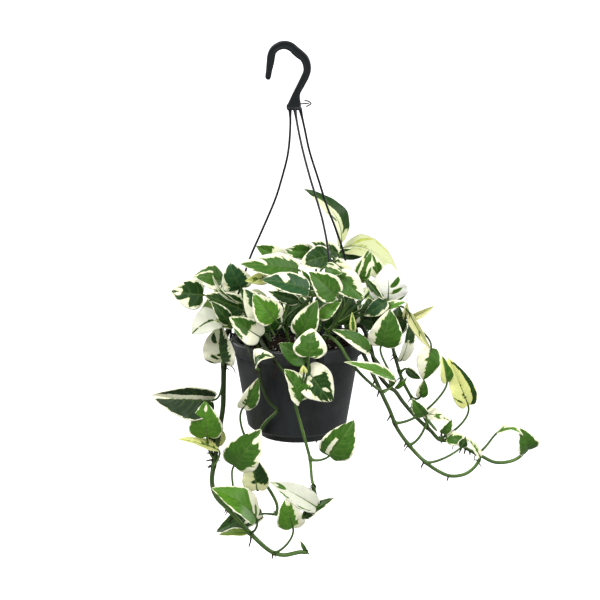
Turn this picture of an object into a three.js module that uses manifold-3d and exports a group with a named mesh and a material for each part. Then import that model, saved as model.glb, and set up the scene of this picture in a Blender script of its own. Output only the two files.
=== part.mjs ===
// A variegated pothos in a black plastic hanging pot.
// Millimetres, +Z up, +X to the right and +Y away from the front.
// The origin is the seat of the hook, the inside top of its curve.
import * as THREE from "three";
import { mergeVertices } from "three/addons/utils/BufferGeometryUtils.js";
import Module from "manifold-3d";

const wasm = await Module();
wasm.setup();
const { Manifold, Mesh } = wasm;

// Driving dimensions
const RIM_R = 75;            // outer radius of the pot's rim
const RIM_Z = -325.5;        // height of the rim's top edge
const RIM_BAND = 15;         // depth of the folded rim
const POT_H = 112;           // rim top to foot
const WALL = 1.8;            // wall of the pot
const NECK_R = 71;           // wall radius just under the rim
const HEEL_R = 56.5;         // wall radius at the bottom
const FOOT_R = 42;           // radius of the recessed foot
const HOLE_R = 4;            // radius of a drainage hole
const HOLE_RING = 27;        // from the pot's axis to a drainage hole
const POT_X = 14.2;          // the pot's axis, to the right of the hook seat
const SOIL_DROP = 11;        // soil below the rim's top edge
const HOOK_T = 7;            // thickness of the hook, front to back
const STRAND_R = 1.25;       // radius of a hanger strand
const CLIP_TURN = [170, 50, -70];  // angle of each rim clip round the pot
const GAP = 0.35;            // between pieces that touch
const ROOT_DEPTH = 20;       // how far a stem goes down into the soil
const BURROW = 0.9;          // a stem's hole in the soil is this much wider in radius
const STEM_SIDES = 5;
const STEM_STEP = 32;        // longest straight stretch of a stem
const PETIOLE_R = [1.35, 1]; // radius of a petiole at the stem and at the blade
const BLADE_T = 0.9;         // thickness of a leaf blade
const LOBE = 0.055;          // reach of the two lobes behind the base, over the length

// Front view grid: u to the right, v down, and depth in millimetres along Y.
// One grid unit is about 1.13 mm at the pot.
const EYE = new THREE.Vector3(17.6, -2150.5, 175.1);
const LOOK_DOWN = THREE.MathUtils.degToRad(12);
const REACH = 1947;

function seen(u, v, depth) {
  const up = (300 - v) / REACH;
  const ray = new THREE.Vector3(
    (u - 300) / REACH,
    Math.cos(LOOK_DOWN) + up * Math.sin(LOOK_DOWN),
    -Math.sin(LOOK_DOWN) + up * Math.cos(LOOK_DOWN));
  return ray.multiplyScalar((depth - EYE.y) / ray.y).add(EYE);
}

// A steady draw between 0 and 1 from two whole numbers.
function draw(i, k) {
  const v = Math.sin(i * 12.9898 + k * 78.233) * 43758.5453;
  return v - Math.floor(v);
}

// Solids
function solid(geometry) {
  const bare = new THREE.BufferGeometry();
  bare.setAttribute("position", geometry.getAttribute("position").clone());
  if (geometry.index) bare.setIndex(geometry.index.clone());
  const merged = mergeVertices(bare, 1e-4);
  const index = merged.index.array;
  const kept = [];
  for (let i = 0; i < index.length; i += 3) {
    const [a, b, c] = [index[i], index[i + 1], index[i + 2]];
    if (a !== b && b !== c && c !== a) kept.push(a, b, c);
  }
  return new Manifold(new Mesh({
    numProp: 3,
    vertProperties: new Float32Array(merged.getAttribute("position").array),
    triVerts: new Uint32Array(kept),
  }));
}

function meshOf(manifold, name, material) {
  const data = manifold.getMesh();
  const geometry = new THREE.BufferGeometry();
  geometry.setAttribute("position", new THREE.BufferAttribute(data.vertProperties, 3));
  geometry.setIndex(new THREE.BufferAttribute(data.triVerts, 1));
  geometry.computeVertexNormals();
  const mesh = new THREE.Mesh(geometry, material);
  mesh.name = name;
  return mesh;
}

// One body from pieces that run into each other, rid of specks and slivers.
function joined(pieces) {
  const bodies = Manifold.union(pieces).simplify(0.4).decompose();
  return bodies.reduce((a, b) => (a.volume() > b.volume() ? a : b));
}

function turned(profile, sides) {
  const points = profile.map(([r, z]) => new THREE.Vector2(r, z));
  const geometry = new THREE.LatheGeometry(points, sides);
  geometry.rotateX(Math.PI / 2);
  geometry.translate(POT_X, 0, RIM_Z);
  return solid(geometry);
}

function tube(curve, radius, sides, steps) {
  const section = new THREE.Shape();
  for (let i = 0; i < sides; i++) {
    const a = (i / sides) * 2 * Math.PI;
    if (i === 0) section.moveTo(radius, 0);
    else section.lineTo(radius * Math.cos(a), radius * Math.sin(a));
  }
  section.closePath();
  const options = { steps, extrudePath: curve, bevelEnabled: false };
  return solid(new THREE.ExtrudeGeometry(section, options));
}

// A flat moulded piece, outlined in the front view and centred on y = 0.
function plate(outline, thickness, bevel) {
  const shape = new THREE.Shape(outline.map(([u, v]) => {
    const p = seen(u, v, 0);
    return new THREE.Vector2(p.x, p.z);
  }));
  const geometry = new THREE.ExtrudeGeometry(shape, {
    depth: thickness - 2 * bevel,
    steps: 1,
    bevelEnabled: bevel > 0,
    bevelThickness: bevel,
    bevelSize: bevel,
    bevelOffset: -bevel,
    bevelSegments: 1,
  });
  geometry.translate(0, 0, -(thickness - 2 * bevel) / 2);
  geometry.rotateX(Math.PI / 2);
  return solid(geometry);
}

// Pot: a lathe profile from the middle of the floor, out, up, over and back.
const potProfile = [
  [0, -POT_H + 3], [FOOT_R - 5, -POT_H + 3], [FOOT_R - 4, -POT_H],
  [FOOT_R, -POT_H], [FOOT_R + 1.2, -POT_H + 9], [HEEL_R - 3, -POT_H + 9.6],
  [HEEL_R, -POT_H + 12.5], [NECK_R, -RIM_BAND + 2], [NECK_R + 0.2, -3.5],
  [RIM_R - 2.6, -2.6], [RIM_R - 1.9, -RIM_BAND], [RIM_R, -RIM_BAND],
  [RIM_R + 0.2, -RIM_BAND + 1.5], [RIM_R, -1.2], [RIM_R - 1.2, 0],
  [NECK_R - 1, 0], [NECK_R - WALL, -1], [NECK_R - WALL, -RIM_BAND],
  [HEEL_R - WALL, -POT_H + 13], [HEEL_R - 7, -POT_H + 11], [0, -POT_H + 11],
];
let pot = turned(potProfile, 30);
for (let i = 0; i < 6; i++) {
  const a = (i + 0.5) * Math.PI / 3;
  const hole = new THREE.CylinderGeometry(HOLE_R, HOLE_R, 30, 8);
  hole.rotateX(Math.PI / 2);
  hole.translate(POT_X + HOLE_RING * Math.cos(a), HOLE_RING * Math.sin(a), RIM_Z - POT_H);
  pot = pot.subtract(solid(hole));
}

// Soil: fills the pot to just under its rim, a little heaped in the middle.
const soilTop = -SOIL_DROP;
let soil = turned([
  [0, -POT_H + 11 + GAP], [HEEL_R - 7.4, -POT_H + 11 + GAP],
  [HEEL_R - WALL - 0.9, -POT_H + 13.4], [NECK_R - WALL - 0.8, -RIM_BAND],
  [NECK_R - WALL - 0.8, soilTop - 1.5], [NECK_R - 6, soilTop],
  [45, soilTop + 1.5], [22, soilTop + 3.5], [0, soilTop + 4],
], 20);

// Hanger: hook, foot plate and snap tab in the front view.
const hookOutline = [
  [265.2, 77], [265.8, 71], [266.5, 62], [267, 56], [268.5, 51], [271, 47],
  [274.5, 44], [279, 41.6], [284, 40.8], [289, 41.3], [294, 43.6], [298, 47],
  [303.5, 51.3], [307.8, 56], [310.3, 61.5], [311.2, 68], [310.5, 73],
  [308.5, 78.5], [304.5, 86], [300.2, 94.4], [300.3, 98], [301, 103],
  [301.2, 110], [287.2, 110], [285.7, 108], [286.4, 105.8], [289.5, 100],
  [293.5, 91.5], [298, 82.5], [302, 74], [303.3, 70], [303, 65.5],
  [301.5, 61.5], [298.5, 58.8], [295, 56.5], [292.5, 54], [290.3, 51.5],
  [287.5, 49.9], [284, 49.2], [280, 50], [277, 52], [275.2, 54.8],
  [275, 59.5], [273.5, 66], [271.7, 74], [271, 77], [270, 79.3],
  [268, 80.2], [266.3, 79.4],
];
const tabOutline = [
  [299, 102.9], [308.6, 102.4], [303.9, 101.3], [304.2, 99.9], [309.8, 100.9],
  [312.2, 103.2], [309.7, 105.3], [306.2, 107], [305.3, 105.8], [308.8, 104.2],
  [299, 105],
];
const strandPaths = [
  [[290, 108, 0], [290.3, 125.6, 0], [288, 153, 0], [281.3, 180, 2],
    [275.3, 199, 4], [261.7, 231, 7], [249.5, 259, 9], [239, 292, 11]],
  [[300, 108, 1], [304.5, 128, 5], [309.2, 150, 10], [318.6, 180, 18],
    [326.7, 205.5, 25], [335, 227, 31], [344.5, 256.5, 40], [348, 288, 50]],
  [[294.6, 108, -1], [298, 128, -7], [302.7, 150, -15], [310.7, 180, -27],
    [315.8, 196.6, -33], [323.5, 224.6, -44], [329.2, 261.6, -57], [327, 306, -69]],
];
const hangerPieces = [plate(hookOutline, HOOK_T, 1.6), plate(tabOutline, 2, 0)];
strandPaths.forEach((path, i) => {
  const turn = THREE.MathUtils.degToRad(CLIP_TURN[i]);
  const out = new THREE.Vector3(Math.cos(turn), Math.sin(turn), 0);
  const at = (r, z) => out.clone().multiplyScalar(r)
    .add(new THREE.Vector3(POT_X, 0, RIM_Z + z));
  const points = path.map((p) => seen(...p));
  points.push(at(RIM_R + 3.5, 22), at(RIM_R + 1.7, 6), at(RIM_R + 1.7, -4));
  const curve = new THREE.CatmullRomCurve3(points, false, "centripetal");
  hangerPieces.push(tube(curve, STRAND_R, 5, 16));
  const flare = new THREE.CatmullRomCurve3([points[0], curve.getPointAt(0.04)]);
  hangerPieces.push(tube(flare, STRAND_R * 1.7, 5, 1));
  // The clip closes round the rim: a tooth over the top, a tongue below.
  const bars = [[2, RIM_BAND + 3.2, RIM_R + 0.55, -RIM_BAND - 2],
    [6.5, 1.4, RIM_R - 4, GAP], [6, 1.6, RIM_R - 3.4, -RIM_BAND - 2]];
  for (const [depth, height, r, z] of bars) {
    const bar = new THREE.BoxGeometry(depth, 7, height);
    bar.translate(r + depth / 2, 0, z + height / 2);
    bar.rotateZ(turn);
    bar.translate(POT_X, 0, RIM_Z);
    hangerPieces.push(solid(bar));
  }
});
const hanger = joined(hangerPieces);

// Leaves: a petiole that swells into a blade, lofted row by row. A blade's
// outline is half its width at each place t from base to tip, and its two
// lobes reach back past the base.
function halfWidth(t) {
  return Math.pow(Math.sin(Math.PI * Math.pow(t, 0.66)), 0.8);
}
function lobeReach(t) {
  return (t / 0.06) * Math.exp(1 - t / 0.06);
}
const ROWS = [0.05, 0.18, 0.42, 0.72, 1];
const FEW_ROWS = [0.08, 0.35, 0.7, 1];
const NARROW = 45;  // a narrower blade has few rows
const WIDE = 44;    // a wider one has four columns
const SHORT = 50;   // a shorter petiole has one bend fewer

function leafSolid(root, along, leaf) {
  const { base, tip, toward, width, roll, fold, bow, seed } = leaf;
  const chord = tip.clone().sub(base);
  const length = chord.length();
  chord.normalize();
  const face = toward.clone().addScaledVector(chord, -toward.dot(chord)).normalize();
  const right = chord.clone().cross(face);
  const turn = THREE.MathUtils.degToRad(roll);
  const normal = face.multiplyScalar(Math.cos(turn)).addScaledVector(right, Math.sin(turn));
  const side = chord.clone().cross(normal);
  const knee = base.clone().addScaledVector(chord, 0.45 * length)
    .addScaledVector(normal, 2 * bow * length);
  const midrib = new THREE.QuadraticBezierCurve3(base, knee, tip);
  const start = midrib.getTangent(0);
  const span = root.distanceTo(base);
  const leave = base.clone().sub(root).normalize().multiplyScalar(1.3).add(along).normalize();
  const petiole = new THREE.CubicBezierCurve3(
    root, root.clone().addScaledVector(leave, 0.33 * span),
    base.clone().addScaledVector(start, -Math.min(0.35 * span, 0.5 * length)), base);

  const columns = width >= WIDE ? 4 : 2;
  const n = columns + 1;
  const rings = [];
  const across = side.clone();
  for (const q of span < SHORT ? [1, 0.45, 0] : [1, 0.62, 0.28, 0]) {
    const middle = petiole.getPoint(q);
    const ahead = petiole.getTangent(q);
    across.addScaledVector(ahead, -across.dot(ahead)).normalize();
    const up = across.clone().cross(ahead);
    const r = THREE.MathUtils.lerp(...PETIOLE_R, q);
    const ring = [];
    for (let k = 0; k < 2 * n; k++) {
      const j = k < n ? k : 2 * n - 1 - k;
      const a = Math.PI * (1 - (j + 0.5) / n);
      const rise = (k < n ? 1 : -1) * Math.sin(a);
      ring.push(middle.clone().addScaledVector(across, r * Math.cos(a))
        .addScaledVector(up, r * rise));
    }
    rings.unshift(ring);
  }
  const slope = THREE.MathUtils.degToRad(fold);
  for (const t of width < NARROW ? FEW_ROWS : ROWS) {
    const ahead = midrib.getTangent(t);
    const up = side.clone().cross(ahead);
    const half = Math.max(0.4, (width / 2) * halfWidth(t));
    const ring = [];
    for (let k = 0; k < 2 * n; k++) {
      const j = k < n ? k : 2 * n - 1 - k;
      const u = (2 * j) / columns - 1;
      const a = Math.abs(u);
      const phase = 6.28 * draw(seed, u < 0 ? 1 : 2);
      const wave = 0.09 * half * a * a * Math.sin(phase + 9 * t);
      const lift = a * half * Math.sin(slope) + wave;
      const back = LOBE * length * Math.pow(a, 1.5) * lobeReach(t);
      ring.push(midrib.getPoint(t).addScaledVector(ahead, -back)
        .addScaledVector(side, u * half * Math.cos(slope))
        .addScaledVector(up, lift + (k < n ? 0.5 : -0.5) * BLADE_T));
    }
    rings.push(ring);
  }
  return loft(rings, n);
}

function loft(rings, n) {
  const size = 2 * n;
  const positions = rings.flat().flatMap((p) => [p.x, p.y, p.z]);
  const index = [];
  for (let r = 0; r + 1 < rings.length; r++) {
    for (let k = 0; k < size; k++) {
      const a = r * size + k;
      const b = r * size + (k + 1) % size;
      const c = a + size;
      const d = b + size;
      if (k < n) index.push(a, b, d, a, d, c);
      else index.push(a, b, c, b, d, c);
    }
  }
  const last = (rings.length - 1) * size;
  for (let j = 0; j + 1 < n; j++) {
    const k = size - 1 - j;
    index.push(j, k, j + 1, j + 1, k, k - 1);
    index.push(last + j, last + j + 1, last + k, last + j + 1, last + k - 1, last + k);
  }
  const geometry = new THREE.BufferGeometry();
  geometry.setAttribute("position", new THREE.Float32BufferAttribute(positions, 3));
  geometry.setIndex(index);
  return solid(geometry);
}

// Vines. Each stem is a path in the front view grid, from the soil outwards.
// Each leaf: place on the path (point number), base u v depth, tip u v depth,
// width in mm, roll of its face to the right of its pointing direction,
// fold of its halves in degrees, and the arch of its midrib over its length.
const vines = [
  { name: "vine_long_left", stem: 3.4, path: [
    [262, 346, -15], [250, 331, -14], [237, 321, -12], [227, 333, -9], [224, 364, -7],
    [223.5, 387, -6], [223, 407, -5], [221, 421, -5], [215, 458, -8], [212, 482, -14],
    [216, 496, -18], [229, 510, -24], [250, 533, -30], [272, 552, -26], [284, 555, -22],
    [301, 552, -14], [308, 553, -12]],
  leaves: [
    [4, 223, 362, -16, 221, 324, -26, 42, -20, 18, 0.12],
    [4.1, 213, 400, -12, 152, 395, -20, 46, -4, 30, 0.1],
    [8, 207, 437, -16, 205, 401, -24, 40, 0, 10, 0.12],
    [8.1, 213, 445, 2, 216, 424, 10, 26, 30, 20, 0.1],
    [8.3, 218, 450, -12, 178, 439, -22, 20, 72, 12, 0.05],
    [11, 234, 466, -50, 261, 429, -64, 43, -5, 8, 0.12],
    [12, 256, 518, -42, 211, 488, -50, 38, 50, 12, 0.14],
    [12, 246, 533, -32, 218, 535, -34, 13, 55, 15, 0.06],
    [13.2, 293, 528, -36, 286, 498, -42, 34, 0, 12, 0.1],
    [16, 306, 551, -12, 300, 540, -12, 5, 0, 10, 0.1]] },
  { name: "vine_front", stem: 2.3, path: [
    [268, 347, -25], [262, 335, -42], [259.5, 338, -58], [264, 346, -70], [270, 354, -79],
    [278, 364, -84], [286, 375, -86], [291, 387, -86], [294, 398, -86], [297.5, 413, -85],
    [302, 429, -83], [307, 447, -81], [310, 459, -80], [312, 480, -78], [314, 487, -77]],
  leaves: [
    [2, 260, 337, -64, 229, 317, -76, 30, 10, 15, 0.12],
    [7.8, 309, 357, -98, 312, 328, -94, 38, 0, 12, 0.08],
    [7.6, 306, 361, -92, 279, 343, -88, 24, 10, 8, 0.1],
    [7.4, 304, 373, -98, 303, 365, -100, 9, 0, 20, 0.1],
    [8, 306, 368, -86, 332, 402, -86, 41, 0, 8, 0.12],
    [8, 300, 401, -92, 284, 369, -94, 36, 40, 30, 0.08],
    [12, 329, 456, -86, 354, 420, -94, 39, 0, 10, 0.12],
    [13.9, 316, 507, -76, 270, 482, -84, 27, 30, 14, 0.1],
    [14, 305, 517, -74, 334, 498, -72, 16, -50, 14, 0.06]] },
  { name: "vine_front_left", stem: 2.5, path: [
    [250, 345, -30], [248, 333, -46], [246, 341, -66], [250, 355, -76], [258, 369, -79],
    [262.5, 387, -75], [270, 403, -70], [277, 410, -67], [268, 420, -59], [261, 429, -50],
    [256, 445, -39], [258, 465, -32], [263, 481, -29], [269, 489, -26], [277, 505, -18],
    [276, 516, -10]],
  leaves: [
    [4, 256, 366, -86, 275, 357, -90, 22, -55, 10, 0.5],
    [10.2, 243, 408, -58, 258, 378, -70, 23, 15, 15, 0.1],
    [12, 257, 490, -34, 253, 455, -36, 31, 0, 10, 0.1],
    [15, 262, 514, -6, 216, 532, 6, 26, 35, 14, 0.1]] },
  { name: "vine_right_low", stem: 2.7, path: [
    [318, 348, -18], [328, 336, -32], [340, 334, -42], [350, 336, -43], [357, 342, -42],
    [362, 351, -42], [369, 366, -42], [376, 381, -42], [383, 396, -42], [390, 411, -42],
    [397, 428, -41], [409, 445, -40], [423, 460, -39], [439, 471.5, -38], [451, 476, -37],
    [465, 474, -36], [474.5, 467, -35], [480, 459, -34]],
  leaves: [
    [9.7, 447, 382, -50, 442, 356, -54, 17, 15, 20, 0.08],
    [11, 425, 415, -52, 412, 398, -58, 17, -15, 12, 0.15],
    [12.2, 461, 447, -46, 466, 436, -48, 12, 0, 10, 0.1],
    [17, 480, 457, -38, 467, 437, -42, 10, 30, 20, 0.08]] },
  { name: "vine_right_middle", stem: 2.7, path: [
    [338, 343, 5], [350, 329, 0], [361, 326, -6], [369, 342, -13], [374, 360, -18],
    [380, 376, -22], [389, 387, -25], [395, 391, -26], [403, 402, -27], [417, 418, -27],
    [431, 431, -27], [439, 439, -27], [456, 442, -26], [467.5, 449, -25], [481.5, 456, -24],
    [494, 462, -23], [507, 462, -21], [518, 458, -19], [526, 450, -18]],
  leaves: [
    [6, 369, 351, -54, 332, 330, -68, 20, 40, 12, 0.12],
    [6.2, 381, 346, -32, 390, 309, -36, 40, 10, 10, 0.12],
    [9.7, 424, 414, -34, 450, 421, -40, 16, -35, 14, 0.2],
    [11, 468, 405, -34, 448, 358, -42, 30, 10, 20, 0.06],
    [11.2, 442, 433, -36, 452, 419, -40, 14, 20, 12, 0.1],
    [12, 447, 438, -34, 469, 441, -38, 18, -25, 14, 0.15],
    [13.6, 497, 433, -30, 524, 436, -34, 14, -65, 10, 0.3],
    [18, 527, 450, -20, 520, 428, -28, 28, 15, 22, 0.2]] },
  { name: "vine_right_back", stem: 2.4, path: [
    [345, 340, 30], [361, 320, 22], [378, 316, 14], [389, 328, 8], [392, 344, 5],
    [397, 363.5, 2], [402, 379, 0], [409, 393, -2], [420, 410, -4], [431, 424, -5],
    [437, 431, -6]],
  leaves: [
    [4.6, 401, 360, 10, 410, 313, 14, 19, 35, 20, 0.1],
    [6, 396, 388, -2, 407, 377, -6, 8, 20, 20, 0.05],
    [5.5, 407, 369, -4, 421, 379, -6, 11, 10, 14, 0.1],
    [7.3, 420, 397, -10, 424, 379, -14, 15, 10, 14, 0.1],
    [2.2, 373, 329, 22, 368, 297, 26, 32, 0, 10, 0.1],
    [3, 394, 334, 16, 399, 306, 20, 26, 0, 10, 0.1]] },
  { name: "vine_right_front", stem: 2.2, path: [
    [322, 349, -40], [324, 336, -56], [332, 338, -70], [341, 347, -77], [348, 359, -77],
    [358, 371, -74], [368, 381, -69], [378, 389, -64], [384, 392, -62]],
  leaves: [
    [8, 394, 379, -68, 344, 362, -88, 16, 45, 20, 0.08]] },
  { name: "shoot_right_low", stem: 1.8, path: [[322, 346, -6], [330, 333, -12], [339, 322, -16]],
  leaves: [
    [2, 386, 301, -30, 364, 316, -34, 20, 0, 12, 0.1],
    [2, 383, 309, -22, 406, 302, -24, 13, -40, 12, 0.1],
    [1.7, 388, 300, -14, 389, 263, -22, 44, 0, 8, 0.12],
    [1.5, 359, 281, -24, 370, 249, -28, 21, 0, 12, 0.1],
    [1.3, 367, 281, -32, 384, 300, -36, 10, 0, 10, 0.1],
    [1.6, 379, 276, -6, 372, 254, -6, 18, 0, 10, 0.1]] },
  { name: "shoot_right_front", stem: 1.8, path: [[319, 350, -32], [327, 337, -40], [334, 325, -46]],
  leaves: [
    [2, 338, 274, -64, 364, 300, -72, 30, -10, 10, 0.1],
    [2, 334, 262, -52, 358, 284, -56, 22, 5, 10, 0.1],
    [1.6, 337, 296, -76, 309, 272, -82, 32, 15, 8, 0.1],
    [1.4, 337, 295, -74, 299, 297, -71, 13, 50, 10, 0.1],
    [1.2, 320, 318, -73, 342, 300, -70, 17, -25, 10, 0.08],
    [1.6, 353, 332, -52, 352, 312, -56, 9, 0, 30, 0.06]] },
  { name: "shoot_middle", stem: 1.8, path: [[303, 345, -10], [307, 332, -16], [309, 318, -20]],
  leaves: [
    [2, 338, 254, -28, 311, 242, -34, 18, 20, 14, 0.14],
    [2, 330, 256, -44, 300, 264, -44, 28, 25, 14, 0.1],
    [1.6, 312, 251, -22, 283, 250, -28, 20, 0, 12, 0.12],
    [1.2, 304, 326, 30, 290, 290, 40, 38, 0, 10, 0.1],
    [1.1, 320, 328, 20, 324, 294, 30, 36, 0, 10, 0.1]] },
  { name: "shoot_middle_left", stem: 1.8, path: [[290, 348, -30], [287, 334, -38], [285, 321, -44]],
  leaves: [
    [2, 298, 270, -58, 240, 264, -72, 30, 30, 10, 0.08],
    [1.8, 285, 258, -44, 256, 246, -48, 22, 0, 12, 0.1],
    [2, 308, 290, -92, 261, 280, -96, 28, 40, 15, 0.1],
    [1.6, 275, 320, -84, 253, 294, -92, 33, 5, 10, 0.1],
    [1.5, 270, 277, -50, 245, 281, -56, 15, 10, 10, 0.1],
    [1.4, 298, 301, -64, 268, 291, -70, 15, 0, 10, 0.1],
    [1.2, 272, 331, 24, 260, 300, 34, 36, 0, 10, 0.1]] },
  { name: "shoot_front", stem: 1.8, path: [[299, 351, -46], [298, 341, -54], [297, 333, -60]],
  leaves: [
    [2, 299, 335, -82, 317, 300, -86, 29, 0, 10, 0.1],
    [1.7, 326, 267, -72, 343, 273, -76, 16, 0, 12, 0.1],
    [1.5, 310, 286, -66, 301, 269, -70, 12, 0, 10, 0.1]] },
  { name: "shoot_left", stem: 1.8, path: [[272, 344, 8], [262, 331, 6], [252, 319, 2]],
  leaves: [
    [2, 203, 295, -14, 171, 291, -20, 36, 10, 10, 0.1],
    [1.8, 222, 281, -2, 193, 277, -8, 30, 32, 8, 0.2],
    [1.6, 240, 318, -12, 226, 299, -16, 17, 0, 10, 0.1]] },
  { name: "shoot_left_front", stem: 1.8, path: [[258, 348, -23], [254, 337, -27], [249, 327, -31]],
  leaves: [
    [2, 243, 311, -34, 204, 295, -44, 28, 25, 10, 0.1],
    [1.7, 240, 303, -48, 212, 275, -54, 12, -55, 14, 0.12],
    [2, 219, 320, -34, 192, 334, -44, 38, 48, 14, 0.16],
    [2, 229, 323, -50, 211, 301, -56, 17, 20, 12, 0.1],
    [1.6, 241, 288, -20, 230, 263, -24, 36, -10, 12, 0.12],
    [1.5, 266, 318, -50, 244, 289, -54, 32, 8, 10, 0.1],
    [1.4, 234, 326, -38, 214, 320, -40, 10, 0, 10, 0.1]] },
  { name: "shoot_tall", stem: 1.9, path: [[322, 341, 36], [330, 324, 46], [333, 306, 54]],
  leaves: [
    [2, 341, 243, 62, 304, 189, 60, 32, 50, 14, 0.23],
    [1.7, 343, 248, 76, 398, 272, 42, 36, -50, 10, 0.22],
    [1.5, 362, 253, 62, 328, 253, 58, 15, 0, 10, 0.1]] },
  { name: "shoot_right_new", stem: 1.8, path: [[334, 344, 14], [350, 324, 8], [366, 309, 4]],
  leaves: [
    [2, 412, 317, -12, 434, 306, -14, 14, 0, 50, 0.08],
    [2, 410, 314, -14, 431, 349, -28, 14, 20, 30, 0.06],
    [2, 431, 348, -20, 423, 380, -18, 28, 0, 10, 0.1],
    [1.8, 405, 319, -8, 407, 302, -8, 9, 0, 30, 0.1],
    [0.8, 345, 325, 12, 349, 292, 18, 32, 0, 10, 0.1]] },
];

// Round the back, leafy shoots by rule: each rises from the soil, leans over
// the rim, hangs, and carries leaves to either side by turns.
const backShoots = [
  { name: "vine_back_1", turn: 36, hang: 36, count: 4 },
  { name: "vine_back_2", turn: 76, hang: 150, count: 7 },
  { name: "vine_back_3", turn: 140, hang: 30, count: 4 },
  { name: "vine_back_4", turn: 108, hang: 120, count: 6 },
];
function behind(shoot, number) {
  const a = THREE.MathUtils.degToRad(shoot.turn);
  const out = new THREE.Vector3(Math.cos(a), Math.sin(a), 0);
  const aside = new THREE.Vector3(-out.y, out.x, 0);
  const at = (r, s, z) => new THREE.Vector3(POT_X, 0, RIM_Z + z)
    .addScaledVector(out, r).addScaledVector(aside, s);
  const points = [at(40, 0, soilTop), at(52, 0, 14), at(70, 1, 17), at(85, 2, 2)];
  for (let i = 1; i * 30 <= shoot.hang; i++) {
    points.push(at(89 + 3 * Math.sin(i), 3 * Math.sin(2.1 * i), 2 - 30 * i));
  }
  const leaves = [];
  for (let i = 0; i < shoot.count; i++) {
    const hand = i % 2 === 0 ? 1 : -1;
    const place = 1 + ((points.length - 2) * (i + 0.5)) / shoot.count;
    const whole = Math.floor(place);
    const from = points[whole].clone().lerp(points[whole + 1], place - whole);
    const base = from.clone().addScaledVector(out, 14 + 8 * draw(number, i))
      .addScaledVector(aside, hand * (9 + 5 * draw(i, number)));
    base.z += 14 + 10 * draw(number + 3, i);
    const tip = base.clone().addScaledVector(out, 14 + 14 * draw(number + 5, i))
      .addScaledVector(aside, hand * (17 + 8 * draw(number + 7, i)));
    tip.z += 26 - 44 * draw(number + 9, i);
    const width = 26 + 10 * draw(number + 11, i);
    const roll = 50 * draw(number + 13, i) - 25;
    leaves.push({ place, base, tip, toward: out, width, roll, fold: 10, bow: 0.14 });
  }
  return { name: shoot.name, stem: 2.2, points, leaves };
}

const plants = vines.map((vine) => ({
  name: vine.name,
  stem: vine.stem,
  points: vine.path.map((p) => seen(...p)),
  leaves: vine.leaves.map(([place, bu, bv, bd, tu, tv, td, width, roll, fold, bow]) => ({
    place, base: seen(bu, bv, bd), tip: seen(tu, tv, td),
    toward: new THREE.Vector3(0, -1, 0), width, roll, fold, bow,
  })),
}));
backShoots.forEach((shoot, i) => plants.push(behind(shoot, i + 1)));

// Stems and leaves are joined, and each stem stands in a plain hole in the soil.
const vineSolids = plants.map((plant, number) => {
  const foot = plant.points[0].clone();
  foot.z -= ROOT_DEPTH;
  const points = [foot.clone(), ...plant.points];
  const curve = new THREE.CatmullRomCurve3(points, false, "centripetal");
  const steps = Math.ceil(curve.getLength() / STEM_STEP);
  const pieces = [tube(curve, plant.stem, STEM_SIDES, steps)];
  const lengths = curve.getLengths(400);
  plant.leaves.forEach((leaf, i) => {
    const t = (leaf.place + 1) / (points.length - 1);
    const u = (steps * lengths[Math.round(400 * t)]) / lengths[400];
    const ring = Math.min(Math.floor(u), steps - 1);
    const below = curve.getPointAt(ring / steps);
    const above = curve.getPointAt((ring + 1) / steps);
    const along = above.clone().sub(below).normalize();
    const root = below.lerp(above, u - ring);
    pieces.push(leafSolid(root, along, { ...leaf, seed: 20 * number + i }));
  });
  foot.z -= BURROW;
  const burrow = new THREE.CatmullRomCurve3([foot, ...plant.points], false, "centripetal");
  soil = soil.subtract(tube(burrow, plant.stem + BURROW, STEM_SIDES, steps));
  return { name: plant.name, body: joined(pieces) };
});

const plastic = new THREE.MeshStandardMaterial({
  name: "black_plastic", color: 0x2a2f32, roughness: 0.5, metalness: 0 });
const hangerPlastic = new THREE.MeshStandardMaterial({
  name: "hanger_plastic", color: 0x1e2426, roughness: 0.42, metalness: 0 });
const earth = new THREE.MeshStandardMaterial({
  name: "potting_soil", color: 0x2b2119, roughness: 0.95, metalness: 0 });
const foliage = new THREE.MeshStandardMaterial({
  name: "variegated_foliage", color: 0x5f8f47, roughness: 0.45, metalness: 0 });

const plant = new THREE.Group();
plant.add(meshOf(hanger, "hanger", hangerPlastic));
plant.add(meshOf(pot, "pot", plastic));
plant.add(meshOf(soil, "soil", earth));
for (const { name, body } of vineSolids) plant.add(meshOf(body, name, foliage));

export default plant;
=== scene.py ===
# %% [markdown]
# A variegated pothos in a black plastic hanging pot, dressed over its packed
# frame. The frame brings every node at its real size, in metres, with the
# origin at the seat of the hook. This lesson replaces the plain solids with
# finer surfaces of the same form, and gives each one a finish.

# %% Load the frame
import bpy
import numpy as np
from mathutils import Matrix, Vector


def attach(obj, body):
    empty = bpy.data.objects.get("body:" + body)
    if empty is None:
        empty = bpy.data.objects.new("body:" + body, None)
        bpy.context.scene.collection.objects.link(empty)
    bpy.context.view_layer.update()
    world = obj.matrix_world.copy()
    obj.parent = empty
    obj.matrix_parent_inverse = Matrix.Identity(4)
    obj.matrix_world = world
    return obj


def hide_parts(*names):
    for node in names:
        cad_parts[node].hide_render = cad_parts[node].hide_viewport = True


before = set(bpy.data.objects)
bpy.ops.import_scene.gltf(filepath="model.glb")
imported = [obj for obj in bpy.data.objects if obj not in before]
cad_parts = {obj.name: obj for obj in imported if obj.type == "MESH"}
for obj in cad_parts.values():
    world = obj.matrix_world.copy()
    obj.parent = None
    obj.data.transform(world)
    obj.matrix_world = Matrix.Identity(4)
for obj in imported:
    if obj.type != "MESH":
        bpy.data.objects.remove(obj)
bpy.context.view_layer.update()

MM = 0.001
print("nodes in the frame:", len(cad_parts))

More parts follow.
